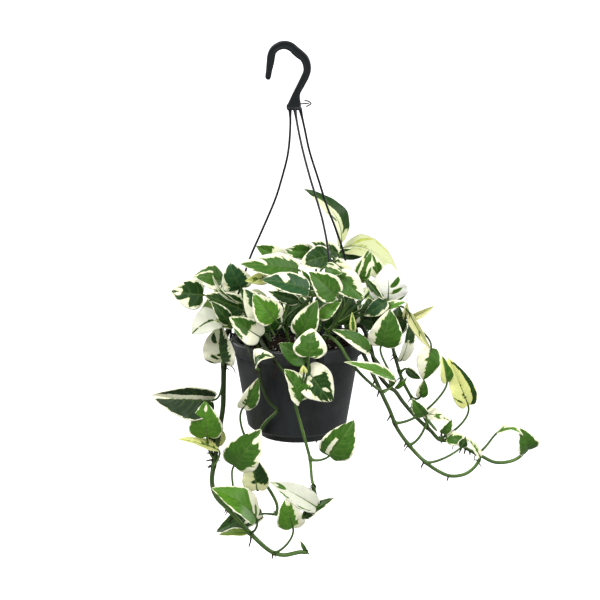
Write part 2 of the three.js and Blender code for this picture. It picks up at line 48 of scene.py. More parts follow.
# %% [markdown]
# The camera comes first, because the plant was measured through it. It stands
# 2.15 m in front of the hook, a little above it, and looks down 12 degrees. A
# long lens keeps the pot's rim a flat ellipse, as in a product photograph.

# %% Camera
EYE = np.array([17.6, -2150.5, 175.1])  # mm
LOOK_DOWN = np.radians(12.0)
REACH = 1947.0  # distance to a picture plane of one unit a pixel
PICTURE = 600.0  # pixels across
SENSOR = 36.0  # mm
NEAR, FAR = 0.05, 60.0  # m, what the camera can see


def make_camera():
    """A camera whose focal length is to its sensor as REACH is to PICTURE."""
    data = bpy.data.cameras.new("camera")
    data.sensor_width = SENSOR
    data.lens = REACH / PICTURE * SENSOR
    data.clip_start = NEAR
    data.clip_end = FAR
    camera = bpy.data.objects.new("camera", data)
    camera.location = Vector(EYE * MM)
    camera.rotation_euler = (np.pi / 2 - LOOK_DOWN, 0.0, 0.0)
    bpy.context.scene.collection.objects.link(camera)
    bpy.context.scene.camera = camera
    print(f"lens {data.lens:.1f} mm")


make_camera()

# %% [markdown]
# A place on the plant is given as it is seen: u to the right and v down, in
# pixels of the front view, and a depth along Y in millimetres. One function
# turns such places into points, for a whole array at once.


# %% Front view to space
def seen(places):
    """Rows of (u, v, depth) to points in mm.

    The ray through a pixel is (right, cos a + up sin a, up cos a - sin a), for
    a camera that looks down by a, and it is cut where Y equals the depth.
    """
    u, v, depth = np.asarray(places, float).T[:3]
    up = (PICTURE / 2 - v) / REACH
    ray = np.stack([
        (u - PICTURE / 2) / REACH,
        np.cos(LOOK_DOWN) + up * np.sin(LOOK_DOWN),
        up * np.cos(LOOK_DOWN) - np.sin(LOOK_DOWN)], axis=1)
    return ray * ((depth - EYE[1]) / ray[:, 1])[:, None] + EYE


print("hook seat, mm:", seen([(284, 49.2, 0)])[0].round(1))

# %% [markdown]
# Stems, strands and the hook all follow smooth curves through a few points. A
# centripetal spline passes through each point without loops or overshoot,
# which suits something that bends as a stem does.

# %% Curves
FINE = 60  # samples a given point, to measure a curve by


def spline(points, t):
    """Centripetal Catmull-Rom curve through points, at t from 0 to 1.

    Each span is a cubic whose end slopes come from the neighbouring points,
    weighted by the square root of the distances between them.
    """
    points = np.asarray(points, float)
    last = len(points) - 1
    padded = np.vstack([2 * points[0] - points[1], points, 2 * points[-1] - points[-2]])
    place = np.clip(np.asarray(t, float) * last, 0, last)
    span = np.minimum(place.astype(int), last - 1)
    w = (place - span)[:, None]
    a, b, c, d = (padded[span + k] for k in range(4))
    gap = [np.maximum(np.linalg.norm(q - p, axis=1), 1e-6)[:, None] ** 0.5
           for p, q in ((a, b), (b, c), (c, d))]
    m = ((b - a) / gap[0] - (c - a) / (gap[0] + gap[1]) + (c - b) / gap[1]) * gap[1]
    n = ((c - b) / gap[1] - (d - b) / (gap[1] + gap[2]) + (d - c) / gap[2]) * gap[1]
    return (b + m * w + (3 * (c - b) - 2 * m - n) * w ** 2
            + (2 * (b - c) + m + n) * w ** 3)


def distance_along(path):
    """How far each point lies along its path: the sum of the steps up to it."""
    return np.concatenate([[0], np.cumsum(np.linalg.norm(np.diff(path, axis=0), axis=1))])


def even_spline(points, step):
    """The same curve at even steps along its length, with each step's t."""
    fine = np.linspace(0, 1, FINE * len(points))
    length = distance_along(spline(points, fine))
    count = max(int(length[-1] / step), 4)
    t = np.interp(np.linspace(0, length[-1], count + 1), length, fine)
    return spline(points, t), t


ARC = [(0, 0, 0), (50, 20, 0), (100, 0, 0)]
print("an arc through three points, mm:", distance_along(even_spline(ARC, 1.0)[0])[-1].round(1))

# %% [markdown]
# A rod needs a direction across it at each point of its path. The first one
# is given, and each next one is the last one squared up to the path, so the
# rod takes no more twist than its path has.


# %% Directions along a path
def frames_along(path, across):
    """Across and up for each point, with as little twist as can be.

    The across direction is carried from point to point and squared up to the
    next tangent, from the first one given.
    """
    tangent = np.gradient(path, axis=0)
    tangent /= np.linalg.norm(tangent, axis=1)[:, None]
    side = np.empty_like(path)
    side[0] = across
    for i, ahead in enumerate(tangent):
        s = side[max(i - 1, 0)]
        s = s - ahead * (s @ ahead)
        side[i] = s / np.linalg.norm(s)
    return side, np.cross(side, tangent)


STRAIGHT = np.array([[0, 0, z] for z in (0.0, 1.0, 2.0)])
print("up, for a rod that climbs:", frames_along(STRAIGHT, np.array([1.0, 0, 0]))[1][0])

# %% [markdown]
# Every new surface is a grid of points, worked out as one array, and a face
# joins four neighbours. A rod, a pot or a crumb is a grid that wraps round,
# with one face over each end, so that no piece is left open.


# %% Faces of a grid
def grid_faces(rows, columns, wrap=False):
    """Four-sided faces of a grid whose points run along each row in turn."""
    across = columns if wrap else columns - 1
    r, c = np.meshgrid(np.arange(rows - 1), np.arange(across), indexing="ij")
    d = (c + 1) % columns
    here, there = r * columns, (r + 1) * columns
    return np.stack([here + c, here + d, there + d, there + c], axis=-1).reshape(-1, 4)


def tube_faces(rings, sides, turned=False):
    """A wrapped grid of faces, and one face over each end.

    They are turned over for rings that run the other way round their path.
    """
    ring = np.arange(sides)[None, :]
    faces = [grid_faces(rings, sides, True), ring[:, ::-1], (rings - 1) * sides + ring]
    return [block[:, ::-1] for block in faces] if turned else faces


print("faces of a tube of 3 rings of 6:", sum(len(block) for block in tube_faces(3, 6)))

# %% [markdown]
# Many grids make one piece. They are gathered first, with the numbers that a
# finish needs, such as how far across the blade a point lies, and these ride
# along as attributes. Then the mesh is made in one go, which is quick.


# %% Grids to a piece
class Parts:
    """Points, faces and attributes of many grids, gathered for one mesh."""

    def __init__(self):
        self.points, self.faces, self.data, self.count = [], [], {}, 0

    def add(self, points, faces, **data):
        """Faces count from this grid's own first point; data is one row a point."""
        self.points.append(points.reshape(-1, 3))
        self.faces += [block + self.count for block in faces]
        for key, value in data.items():
            self.data.setdefault(key, []).append(value)
        self.count += len(self.points[-1])

    def triangles(self):
        return sum(len(block) * (block.shape[1] - 2) for block in self.faces)


def make_piece(name, parts, material, slot_name, *nodes):
    """One smooth mesh object from the gathered grids, in metres, on the body."""
    mesh = bpy.data.meshes.new(name)
    points = np.concatenate(parts.points) * MM
    faces = [tuple(face) for block in parts.faces for face in block.tolist()]
    mesh.from_pydata(points.tolist(), [], faces)
    mesh.polygons.foreach_set("use_smooth", np.ones(len(faces), bool))
    for key, blocks in parts.data.items():
        values = np.concatenate([np.asarray(block, np.float32) for block in blocks])
        kind = "FLOAT" if values.ndim == 1 else "FLOAT_VECTOR"
        layer = mesh.attributes.new(key, kind, "POINT")
        layer.data.foreach_set("value" if values.ndim == 1 else "vector", values.ravel())
    mesh.materials.append(material)
    mesh.update()
    piece = bpy.data.objects.new(name, mesh)
    bpy.context.scene.collection.objects.link(piece)
    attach(piece, "root")
    if nodes:
        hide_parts(*nodes)
    print(f"{name}: {parts.triangles()} triangles")
    return piece


# %% [markdown]
# Stems, strands, roots and the tab's rods are all one shape, a round or oval
# section carried along a path. Its size may change from point to point.


# %% Rods
def sweep(parts, path, across, half_wide, half_high, sides, **data):
    """A closed rod: an ellipse carried along a path, and closed at both ends.

    Point k of a ring is path + across w cos a + up h sin a, with a = 2 pi k / n.
    """
    side, up = frames_along(path, across)
    a = 2 * np.pi * np.arange(sides) / sides
    wide = np.broadcast_to(half_wide, len(path))[:, None, None]
    high = np.broadcast_to(half_high, len(path))[:, None, None]
    rings = (path[:, None] + side[:, None] * wide * np.cos(a)[None, :, None]
             + up[:, None] * high * np.sin(a)[None, :, None])
    parts.add(rings, tube_faces(len(path), sides, turned=True), **data)


TRIAL = Parts()
sweep(TRIAL, STRAIGHT, np.array([1.0, 0, 0]), 1.0, 1.0, 6)
print("triangles of a rod of three rings of six:", TRIAL.triangles())

# %% [markdown]
# A finish is a small graph of shader nodes. One function adds any node with
# its settings and links, and another turns a screen colour such as 3F7A33
# into the linear values that a shader works in.


# %% Material helpers
def colour(text):
    """An sRGB hex colour to linear red, green, blue and alpha.

    Each part is divided by 12.92 up to 0.04045, and above that it is raised
    to the power 2.4 once it has 0.055 added and is divided by 1.055.
    """
    srgb = np.array([int(text[i:i + 2], 16) for i in (0, 2, 4)]) / 255
    linear = np.where(srgb <= 0.04045, srgb / 12.92, ((srgb + 0.055) / 1.055) ** 2.4)
    return (*linear.tolist(), 1.0)


def set_inputs(tree, node, inputs):
    """Each socket, by its name or number, gets a value or a link to an output."""
    for socket, value in inputs.items():
        if isinstance(value, bpy.types.NodeSocket):
            tree.links.new(value, node.inputs[socket])
        else:
            node.inputs[socket].default_value = value


def add_node(tree, kind, inputs=None, out=0, stops=(), **settings):
    """Adds a shader node and gives back one of its outputs.

    Settings are the node's own properties. Stops are the places and colours
    of a colour ramp, in order.
    """
    made = tree.nodes.new("ShaderNode" + kind)
    for key, value in settings.items():
        setattr(made, key, value)
    set_inputs(tree, made, inputs or {})
    for number, (place, text) in enumerate(stops):
        elements = made.color_ramp.elements
        stop = elements[number] if number < 2 else elements.new(place)
        stop.position = place
        stop.color = colour(text)
    return made.outputs[out]


def new_material(name):
    """A material with its node tree and its one shader node."""
    material = bpy.data.materials.new(name)
    material.use_nodes = True
    tree = material.node_tree
    shader = next(n for n in tree.nodes if n.type == "BSDF_PRINCIPLED")
    print("finish:", name)
    return material, tree, shader


print("mid grey, linear:", round(colour("808080")[0], 3))

# %% [markdown]
# The pot is polypropylene, injection moulded and cheap: near black with a
# blue cast, a satin skin that takes a broad soft shine, fine grain from the
# tool, faint upright flow marks and a little dust. Noise in the object's own
# coordinates gives all of these, each at its real size in millimetres, because
# a moulding has no weave or grain that a pattern would have to follow.


# %% Polypropylene for the pot
def moulded_pot():
    """Flow marks 9 mm apart, tool grain of 0.7 mm and patches of dust of 30 mm."""
    material, tree, shader = new_material("moulded_polypropylene")
    place = add_node(tree, "TexCoord", out="Object")
    upright = add_node(tree, "Mapping", {0: place, 3: (1, 1, 0.12)})
    marks = add_node(tree, "TexNoise", {0: upright, "Scale": 1 / (9 * MM), "Detail": 3})
    grain = add_node(tree, "TexNoise", {0: place, "Scale": 1 / (0.7 * MM)})
    dust = add_node(tree, "TexNoise", {0: place, "Scale": 1 / (30 * MM), "Detail": 4,
                                       "Roughness": 0.6})
    base = add_node(tree, "ValToRGB", {0: marks}, stops=[(0.3, "121618"), (0.7, "1A1F22")])
    pale = add_node(tree, "MapRange", {0: dust, 1: 0.5, 2: 0.8, 4: 0.10})
    base = add_node(tree, "Mix", {0: pale, 6: base, 7: colour("7C7A74")}, out=2,
                    data_type="RGBA")
    rough = add_node(tree, "MapRange", {0: marks, 3: 0.42, 4: 0.55})
    soft = add_node(tree, "Bump", {"Height": marks, "Distance": 0.10 * MM})
    fine = add_node(tree, "Bump", {"Height": grain, "Distance": 0.03 * MM, "Normal": soft})
    set_inputs(tree, shader, {"Base Color": base, "Roughness": rough, "IOR": 1.49,
                              "Normal": fine})
    return material


POT_FINISH = moulded_pot()

# %% [markdown]
# The rim, wall and foot are one lathe shape. Its profile has the same corners
# as the solid, and each corner is rounded by a short curve, as a mould has no
# sharp edges. It is turned in 160 steps so that no flat shows. The drainage
# holes are cut by a Boolean modifier, which is simpler than a grid with gaps,
# and its result is kept as the mesh.

# %% Pot
RIM_R, RIM_Z, RIM_BAND, POT_H, WALL = 75.0, -325.5, 15.0, 112.0, 1.8
NECK_R, HEEL_R, FOOT_R, POT_X = 71.0, 56.5, 42.0, 14.2
HOLES, HOLE_R, HOLE_RING, HOLE_SIDES = 6, 4.0, 27.0, 24
TURNS = 160
CORNER = 1.0  # mm, how far before a corner its curve starts
POLE_R = 0.02  # mm, so small that the face over it doesn't show

POT_PROFILE = [
    (0, -POT_H + 3), (FOOT_R - 5, -POT_H + 3), (FOOT_R - 4, -POT_H), (FOOT_R, -POT_H),
    (FOOT_R + 1.2, -POT_H + 9), (HEEL_R - 3, -POT_H + 9.6), (HEEL_R, -POT_H + 12.5),
    (NECK_R, -RIM_BAND + 2), (NECK_R + 0.2, -3.5), (RIM_R - 2.6, -2.6),
    (RIM_R - 1.9, -RIM_BAND), (RIM_R, -RIM_BAND), (RIM_R + 0.2, -RIM_BAND + 1.5),
    (RIM_R, -1.2), (RIM_R - 1.2, 0), (NECK_R - 1, 0), (NECK_R - WALL, -1),
    (NECK_R - WALL, -RIM_BAND), (HEEL_R - WALL, -POT_H + 13), (HEEL_R - 7, -POT_H + 11),
    (0, -POT_H + 11)]


def rounded(profile, reach):
    """Each inner corner becomes five points of a quadratic curve that starts and
    ends a short reach before and after it."""
    p = np.asarray(profile, float)
    t = np.linspace(0, 1, 5)[:, None]
    runs = [p[:1]]
    for before, corner, after in zip(p, p[1:], p[2:]):
        ends = []
        for other in (before, after):
            way = other - corner
            size = np.linalg.norm(way)
            ends.append(corner + way * min(reach, 0.4 * size) / size)
        runs.append((1 - t) ** 2 * ends[0] + 2 * t * (1 - t) * corner + t ** 2 * ends[1])
    return np.vstack(runs + [p[-1:]])


def lathe(profile, turns):
    """Turns rows of (radius, height) round the pot's axis: points and faces.

    Point k of a row is (r cos a, r sin a, z), with a = 2 pi k / turns.
    """
    a = 2 * np.pi * np.arange(turns) / turns
    r, z = profile.T
    r = np.maximum(r, POLE_R)
    points = np.stack([
        POT_X + r[:, None] * np.cos(a), r[:, None] * np.sin(a),
        np.broadcast_to(RIM_Z + z[:, None], (len(r), turns))], axis=-1)
    return points, tube_faces(len(r), turns)


def make_pot():
    """The lathe shape, with a ring of holes cut through its floor by rods."""
    parts = Parts()
    parts.add(*lathe(rounded(POT_PROFILE, CORNER), TURNS))
    pot = make_piece("pot_shell", parts, POT_FINISH, "black_plastic", "pot")
    drill = Parts()
    for k in range(HOLES):
        a = (k + 0.5) * 2 * np.pi / HOLES
        axis = np.array([POT_X + HOLE_RING * np.cos(a), HOLE_RING * np.sin(a), RIM_Z - POT_H])
        path = axis + np.array([[0, 0, z] for z in (-5.0, 0.0, 5.0, 16.0)])
        sweep(drill, path, np.array([1.0, 0, 0]), HOLE_R, HOLE_R, HOLE_SIDES)
    cutter = make_piece("drill", drill, POT_FINISH, "black_plastic")
    cut = pot.modifiers.new("drainage holes", "BOOLEAN")
    cut.object = cutter
    cut.solver = "EXACT"
    solid = bpy.data.meshes.new_from_object(
        pot.evaluated_get(bpy.context.evaluated_depsgraph_get()))
    pot.modifiers.clear()
    pot.data = solid
    bpy.data.objects.remove(cutter)
    print("pot faces with its drainage holes:", len(solid.polygons))


make_pot()

# %% [markdown]
# The hanger is one moulding of polyamide, tougher and darker than the pot. The
# light catches the rounded back of the hook, so its skin is a little glossier
# than the pot's. A fine noise varies the shine, and a broad one the tone.


# %% Plastic for the hanger
def moulded_hanger():
    """Fine marks of 1.2 mm over a tone that drifts every 14 mm."""
    material, tree, shader = new_material("moulded_polyamide")
    place = add_node(tree, "TexCoord", out="Object")
    grain = add_node(tree, "TexNoise", {0: place, "Scale": 1 / (1.2 * MM), "Detail": 3})
    cloud = add_node(tree, "TexNoise", {0: place, "Scale": 1 / (14 * MM)})
    base = add_node(tree, "ValToRGB", {0: cloud}, stops=[(0.3, "0E1213"), (0.75, "161B1D")])
    rough = add_node(tree, "MapRange", {0: grain, 3: 0.30, 4: 0.46})
    fine = add_node(tree, "Bump", {"Height": grain, "Distance": 0.04 * MM})
    set_inputs(tree, shader, {"Base Color": base, "Roughness": rough, "Normal": fine,
                              "Specular IOR Level": 0.28})
    return material


HANGER_FINISH = moulded_hanger()

# %% [markdown]
# The hook is drawn by two rails, its outer and its inner edge, as they are
# seen from the front. A curve with a bevel couldn't change its width as the
# hook does, so rings are laid between the rails: a rounded section with a
# shallow channel down each face. The foot flares into a plate with a ledge.

# %% Hook
HOOK_T = 7.0  # mm, front to back
HOOK_STEPS, HOOK_SIDES = 190, 36
TIP_END = 0.05  # the part of the rails over which the tip rounds off
LEDGE_AT, LEDGE_LONG = 0.985, 0.012
OUTER_RAIL = [
    (266.6, 79.6), (265.2, 77), (265.8, 71), (266.4, 63), (267, 56), (268.5, 51), (271, 47),
    (274.5, 44), (279, 41.6), (284, 40.8), (289, 41.3), (294, 43.6), (298, 47), (303.3, 51.3),
    (307.8, 56), (310.3, 61.5), (311.2, 68), (310.5, 73), (308.5, 78.5), (304.5, 86),
    (300.3, 94), (300.1, 98), (300.7, 102), (301.1, 106), (301.2, 110)]
INNER_RAIL = [
    (269.6, 79.8), (270.9, 77.4), (272.2, 71), (274, 64), (275.2, 57.5), (276, 53.6),
    (277.7, 51.5), (279.4, 50.3), (281.6, 49.5), (284.2, 49.2), (287, 49.8), (289.6, 51.2),
    (292.3, 54), (296.6, 57.7), (300.3, 60.4), (302.4, 64.2), (303.2, 68), (303.2, 70.6),
    (302, 74), (298, 82.5), (293.4, 91.6), (291, 96.6), (288.5, 102), (286.4, 106), (287.2, 110)]


def make_hook():
    """Rings between the rails: place q across and h high, from a superellipse.

    With a = angle, q = sgn(cos a)|cos a|^0.55 and h = sgn(sin a)|sin a|^0.45,
    and h sinks by a fifth in the middle of each face for the channel.
    """
    t = np.linspace(0, 1, HOOK_STEPS)
    flat = [np.column_stack([rail, np.zeros(len(rail))]) for rail in (OUTER_RAIL, INNER_RAIL)]
    outer, inner = (seen(spline(rail, t)) for rail in flat)
    a = 2 * np.pi * (np.arange(HOOK_SIDES) + 0.5) / HOOK_SIDES
    q = np.sign(np.cos(a)) * np.abs(np.cos(a)) ** 0.55
    h = np.sign(np.sin(a)) * np.abs(np.sin(a)) ** 0.45
    h = h * (1 - 0.2 * np.exp(-(q / 0.5) ** 4))
    tip = np.where(t < TIP_END, np.sqrt(np.clip(1 - (1 - t / TIP_END) ** 2, 0.05, 1)), 1.0)
    ledge = 1 + 0.22 * np.exp(-((t - LEDGE_AT) / LEDGE_LONG) ** 2)
    middle, half = (outer + inner) / 2, (outer - inner) / 2
    rings = middle[:, None] + half[:, None] * q[None, :, None]
    rings[..., 1] += (HOOK_T / 2 * tip * ledge)[:, None] * h
    parts = Parts()
    parts.add(rings, tube_faces(HOOK_STEPS, HOOK_SIDES, turned=True))
    make_piece("hook", parts, HANGER_FINISH, "hanger_plastic", "hanger")


make_hook()

# %% [markdown]
# A small barbed tab stands out from the plate's side, where the hook is
# snapped off its sprue or clipped to another. It is three thin rods, which
# run into each other as the tab's own bars do.

# %% Snap tab
TAB_R, TAB_SIDES = 0.95, 12
TAB_RODS = [
    [(299.0, 104.0), (304.0, 103.6), (309.5, 103.3)],
    [(304.2, 100.4), (308.5, 101.3), (311.6, 103.4)],
    [(305.6, 106.6), (308.8, 105.3), (311.6, 103.4)]]


def make_tab():
    """Rods whose radius falls off near both ends, as 1 - |2t - 1|^8 does."""
    parts = Parts()
    for rod in TAB_RODS:
        path, t = even_spline(seen([(u, v, 0) for u, v in rod]), 0.5)
        thin = TAB_R * np.sqrt(np.clip(1.02 - np.abs(2 * t - 1) ** 8, 0, 1))
        sweep(parts, path, np.array([0, 1.0, 0]), thin, 0.8 * thin, TAB_SIDES)
    make_piece("snap_tab", parts, HANGER_FINISH, "hanger_plastic", "hanger")


make_tab()

# %% [markdown]
# Three round strands leave the plate, thick at the root, and bow outwards to
# the rim. Each ends in a clip, a bar outside the rim with a tooth over its
# top and a tongue under its band. A strand is a rod, and a clip is one
# outline with a width, as both are on the moulding.

# %% Strands and rim clips
STRAND_R, STRAND_SIDES = 1.3, 14
ROOT_SWELL, ROOT_LONG = 0.9, 0.035  # mm, and the part of the strand it takes
END_SWELL, END_LONG = 0.3, 0.03
CLIP_TURN = np.radians([170, 50, -70])
CLIP_W, CLIP_CORNER = 7.0, 0.35
GAP = 0.35  # mm of air between pieces that would otherwise touch
STRAND_PATHS = [
    [(290, 108, 0), (290.3, 125.6, 0), (288, 153, 0), (281.3, 180, 2),
     (275.3, 199, 4), (261.7, 231, 7), (249.5, 259, 9), (239, 292, 11)],
    [(300, 108, 1), (304.5, 128, 5), (309.2, 150, 10), (318.6, 180, 18),
     (326.7, 205.5, 25), (335, 227, 31), (344.5, 256.5, 40), (348, 288, 50)],
    [(294.6, 108, -1), (298, 128, -7), (302.7, 150, -15), (310.7, 180, -27),
     (315.8, 196.6, -33), (323.5, 224.6, -44), (329.2, 261.6, -57), (327, 306, -69)]]
CLIP_OUTLINE = [
    (RIM_R + 0.55, -RIM_BAND - 0.4), (RIM_R - 3.4, -RIM_BAND - 0.4),
    (RIM_R - 3.4, -RIM_BAND - 2), (RIM_R + 2.0, -RIM_BAND - 2), (RIM_R + 2.6, -RIM_BAND),
    (RIM_R + 2.6, 0.4), (RIM_R + 1.8, 1.7), (RIM_R - 4, 1.7), (RIM_R - 4, GAP),
    (RIM_R + 0.55, GAP)]


def round_pot(radius, height, turn):
    """A point beside the pot, by its radius, its height over the rim and turn."""
    return np.array([POT_X + radius * np.cos(turn), radius * np.sin(turn), RIM_Z + height])


def make_strands():
    """Each clip is its outline at four places across, smaller at the outer two."""
    strands, clips = Parts(), Parts()
    outline = rounded(CLIP_OUTLINE + CLIP_OUTLINE[:1], CLIP_CORNER)[:-1]
    wide = np.array([-1, -0.96, 0.96, 1]) * CLIP_W / 2
    shrink = np.array([0.02, 0, 0, 0.02])
    ring = outline + (outline.mean(axis=0) - outline) * shrink[:, None, None]
    for turn, places in zip(CLIP_TURN, STRAND_PATHS):
        end = [round_pot(RIM_R + 3.5, 22, turn), round_pot(RIM_R + 1.7, 6, turn),
               round_pot(RIM_R + 1.7, -4, turn)]
        path, t = even_spline(np.vstack([seen(places), end]), 2.0)
        radius = (STRAND_R + ROOT_SWELL * np.exp(-(t / ROOT_LONG) ** 2)
                  + END_SWELL * np.exp(-((1 - t) / END_LONG) ** 2))
        sweep(strands, path, np.array([0, 1.0, 0]), radius, radius, STRAND_SIDES)
        out = np.array([np.cos(turn), np.sin(turn), 0])
        aside = np.array([-out[1], out[0], 0])
        points = (np.array([POT_X, 0, RIM_Z]) + ring[..., :1] * out
                  + wide[:, None, None] * aside + ring[..., 1:] * np.array([0, 0, 1.0]))
        clips.add(points, tube_faces(len(wide), len(outline), turned=True))
    make_piece("strands", strands, HANGER_FINISH, "hanger_plastic", "hanger")
    make_piece("rim_clips", clips, HANGER_FINISH, "hanger_plastic", "hanger")


make_strands()

# %% [markdown]
# The mix in the pot is dark peat with bark and a few white grains. The peat is
# painted darker than its own colour, as painted shade for the shade that the
# leaves and the rim cast into the pot. It is dry on top, so it is rough and
# never glossy. Its colour changes from crumb to crumb, a few millimetres apart.


# %% Potting mix, bark and grains
def crumbly(name, size_mm, stops, depth_mm):
    """A rough, dull stuff whose colour and relief change every size_mm."""
    material, tree, shader = new_material(name)
    place = add_node(tree, "TexCoord", out="Object")
    crumbs = add_node(tree, "TexNoise", {0: place, "Scale": 1 / (size_mm * MM), "Detail": 5,
                                         "Roughness": 0.7})
    base = add_node(tree, "ValToRGB", {0: crumbs}, stops=stops)
    rough = add_node(tree, "Bump", {"Height": crumbs, "Distance": depth_mm * MM})
    set_inputs(tree, shader, {"Base Color": base, "Normal": rough, "Roughness": 0.95,
                              "Specular IOR Level": 0.2})
    return material


# The peat's stops hold painted shade: they are darker than the peat itself, for the shade in the
# pot.
PEAT_AND_PAINTED_SHADE = crumbly("dry_peat_with_painted_shade", 3.0, [(0.3, "0A0806"), (0.55, "17110C"), (0.8, "2A2017")], 1.2)
BARK = crumbly("pine_bark", 2.0, [(0.3, "1A110B"), (0.6, "2E1F14"), (0.85, "463322")], 0.6)
PERLITE = crumbly("perlite", 1.5, [(0.3, "8F8B80"), (0.7, "C4C0B4")], 0.4)

# %% [markdown]
# The mix fills the pot as a lathe shape of its own, a hair smaller than the
# pot's inside. Its top is a low heap with lumps, from crossing sine waves,
# which are smooth, quick to work out and the same at every run.

# %% Soil
SOIL_TOP = -11.0  # mm from the rim
HEAP_R = 66.0
SOIL_TURNS, SOIL_RINGS = 120, 60


def heap(x, y):
    """Height of the soil over the pot's axis: a low heap with lumps on it.

    It is 4 cos(pi r / 2R) mm, with 0.7 times slow waves and 0.3 times quick
    ones, each of them a product of two sines that cross.
    """
    r = np.hypot(x, y)
    lumps = (np.sin(0.31 * x + 1.7) * np.sin(0.27 * y + 0.4)
             + 0.6 * np.sin(0.83 * x - 0.52 * y) * np.sin(0.71 * y + 0.44 * x + 2))
    fine = np.sin(2.1 * x + 1.3 * y) * np.sin(1.7 * y - 1.1 * x + 0.6)
    dome = 4 * np.cos(np.minimum(r / HEAP_R, 1) * np.pi / 2)
    return SOIL_TOP + dome + 0.7 * lumps + 0.3 * fine


def make_soil():
    """Five rings down the side and under it, and sixty over the top."""
    floor = -POT_H + 11 + GAP
    edge = NECK_R - WALL - 0.8
    radii = np.concatenate([[POLE_R, HEEL_R - 7.4, HEEL_R - WALL - 0.9, edge, edge - 0.3],
                            np.linspace(edge - 1.2, POLE_R, SOIL_RINGS)])
    points, faces = lathe(np.column_stack([radii, np.zeros(len(radii))]), SOIL_TURNS)
    points[..., 2] = RIM_Z + heap(points[..., 0] - POT_X, points[..., 1])
    for row, height in enumerate([floor, floor, -POT_H + 13.4, -RIM_BAND, SOIL_TOP - 2]):
        points[row, :, 2] = RIM_Z + height
    parts = Parts()
    parts.add(points, faces)
    make_piece("potting_mix", parts, PEAT_AND_PAINTED_SHADE, "potting_soil", "soil")


make_soil()

# %% [markdown]
# Bark chips and white grains lie on the mix. Each one is a rough ball of a few
# faces, because there are hundreds, pushed out of shape at random. The draws
# are seeded, so every run gives the same litter.

# %% Bark and grains
CRUMB_REACH = 63.0  # mm from the pot's axis
BALL_RINGS, BALL_SIDES = np.pi * np.array([0.16, 0.5, 0.84])[:, None], 6


def make_crumbs(name, count, size, flat, material, seed):
    """Balls of three rings of six points and two end faces, pushed in and out
    at random, squashed, turned and partly sunk, at places that are spread
    evenly over the disc by a radius that goes as the root of a draw."""
    rng = np.random.default_rng(seed)
    parts = Parts()
    lat = BALL_RINGS
    lon = np.linspace(0, 2 * np.pi, BALL_SIDES + 1)[None, :-1]
    ball = np.stack([np.sin(lat) * np.cos(lon), np.sin(lat) * np.sin(lon),
                     np.cos(lat) + 0 * lon], axis=-1)
    for _ in range(count):
        r, a = CRUMB_REACH * np.sqrt(rng.random()), 2 * np.pi * rng.random()
        x, y = r * np.cos(a), r * np.sin(a)
        lump = ball * (1 + 0.25 * rng.normal(size=ball.shape[:2])[..., None])
        turn = np.linalg.qr(rng.normal(size=(3, 3)))[0]
        turn *= np.sign(np.linalg.det(turn))
        shape = size * (0.5 + rng.random()) * np.array([1, 0.75, flat])
        tilt = np.array([[np.cos(a), -np.sin(a), 0], [np.sin(a), np.cos(a), 0], [0, 0, 1]])
        lump = (lump * shape) @ (turn if flat > 0.6 else tilt)
        parts.add(lump + [POT_X + x, y, RIM_Z + heap(x, y) + 0.3 * size],
                  tube_faces(len(lat), BALL_SIDES, turned=True))
    make_piece(name, parts, material, "potting_soil")


make_crumbs("bark_crumbs", 420, 2.4, 0.45, BARK, 5)
make_crumbs("perlite_grains", 110, 1.2, 0.9, PERLITE, 9)

# %% [markdown]
# A leaf blade is a waxy skin over green and cream tissue. The two colours lie
# in patches that run with the side veins, green round the midrib and cream
# at the margin. A hard threshold on a slow noise gives their ragged edge, and
# the noise is stretched along the veins by an attribute that follows them: it
# counts 5.5 mm along the blade as one, and 13 mm across it. So the slow noise
# has patches of 7 by 17 mm, and the quick one has flecks of 2 by 4 mm. The
# underside is duller and paler, and the veins show as a fine relief.

# %% Leaf blade
FLECK = (2.1, 1.75, 1.3, 1)
FRINGE, VEIN, UNDERSIDE = colour("DDE6A4"), colour("9DBB66"), colour("86A05A")


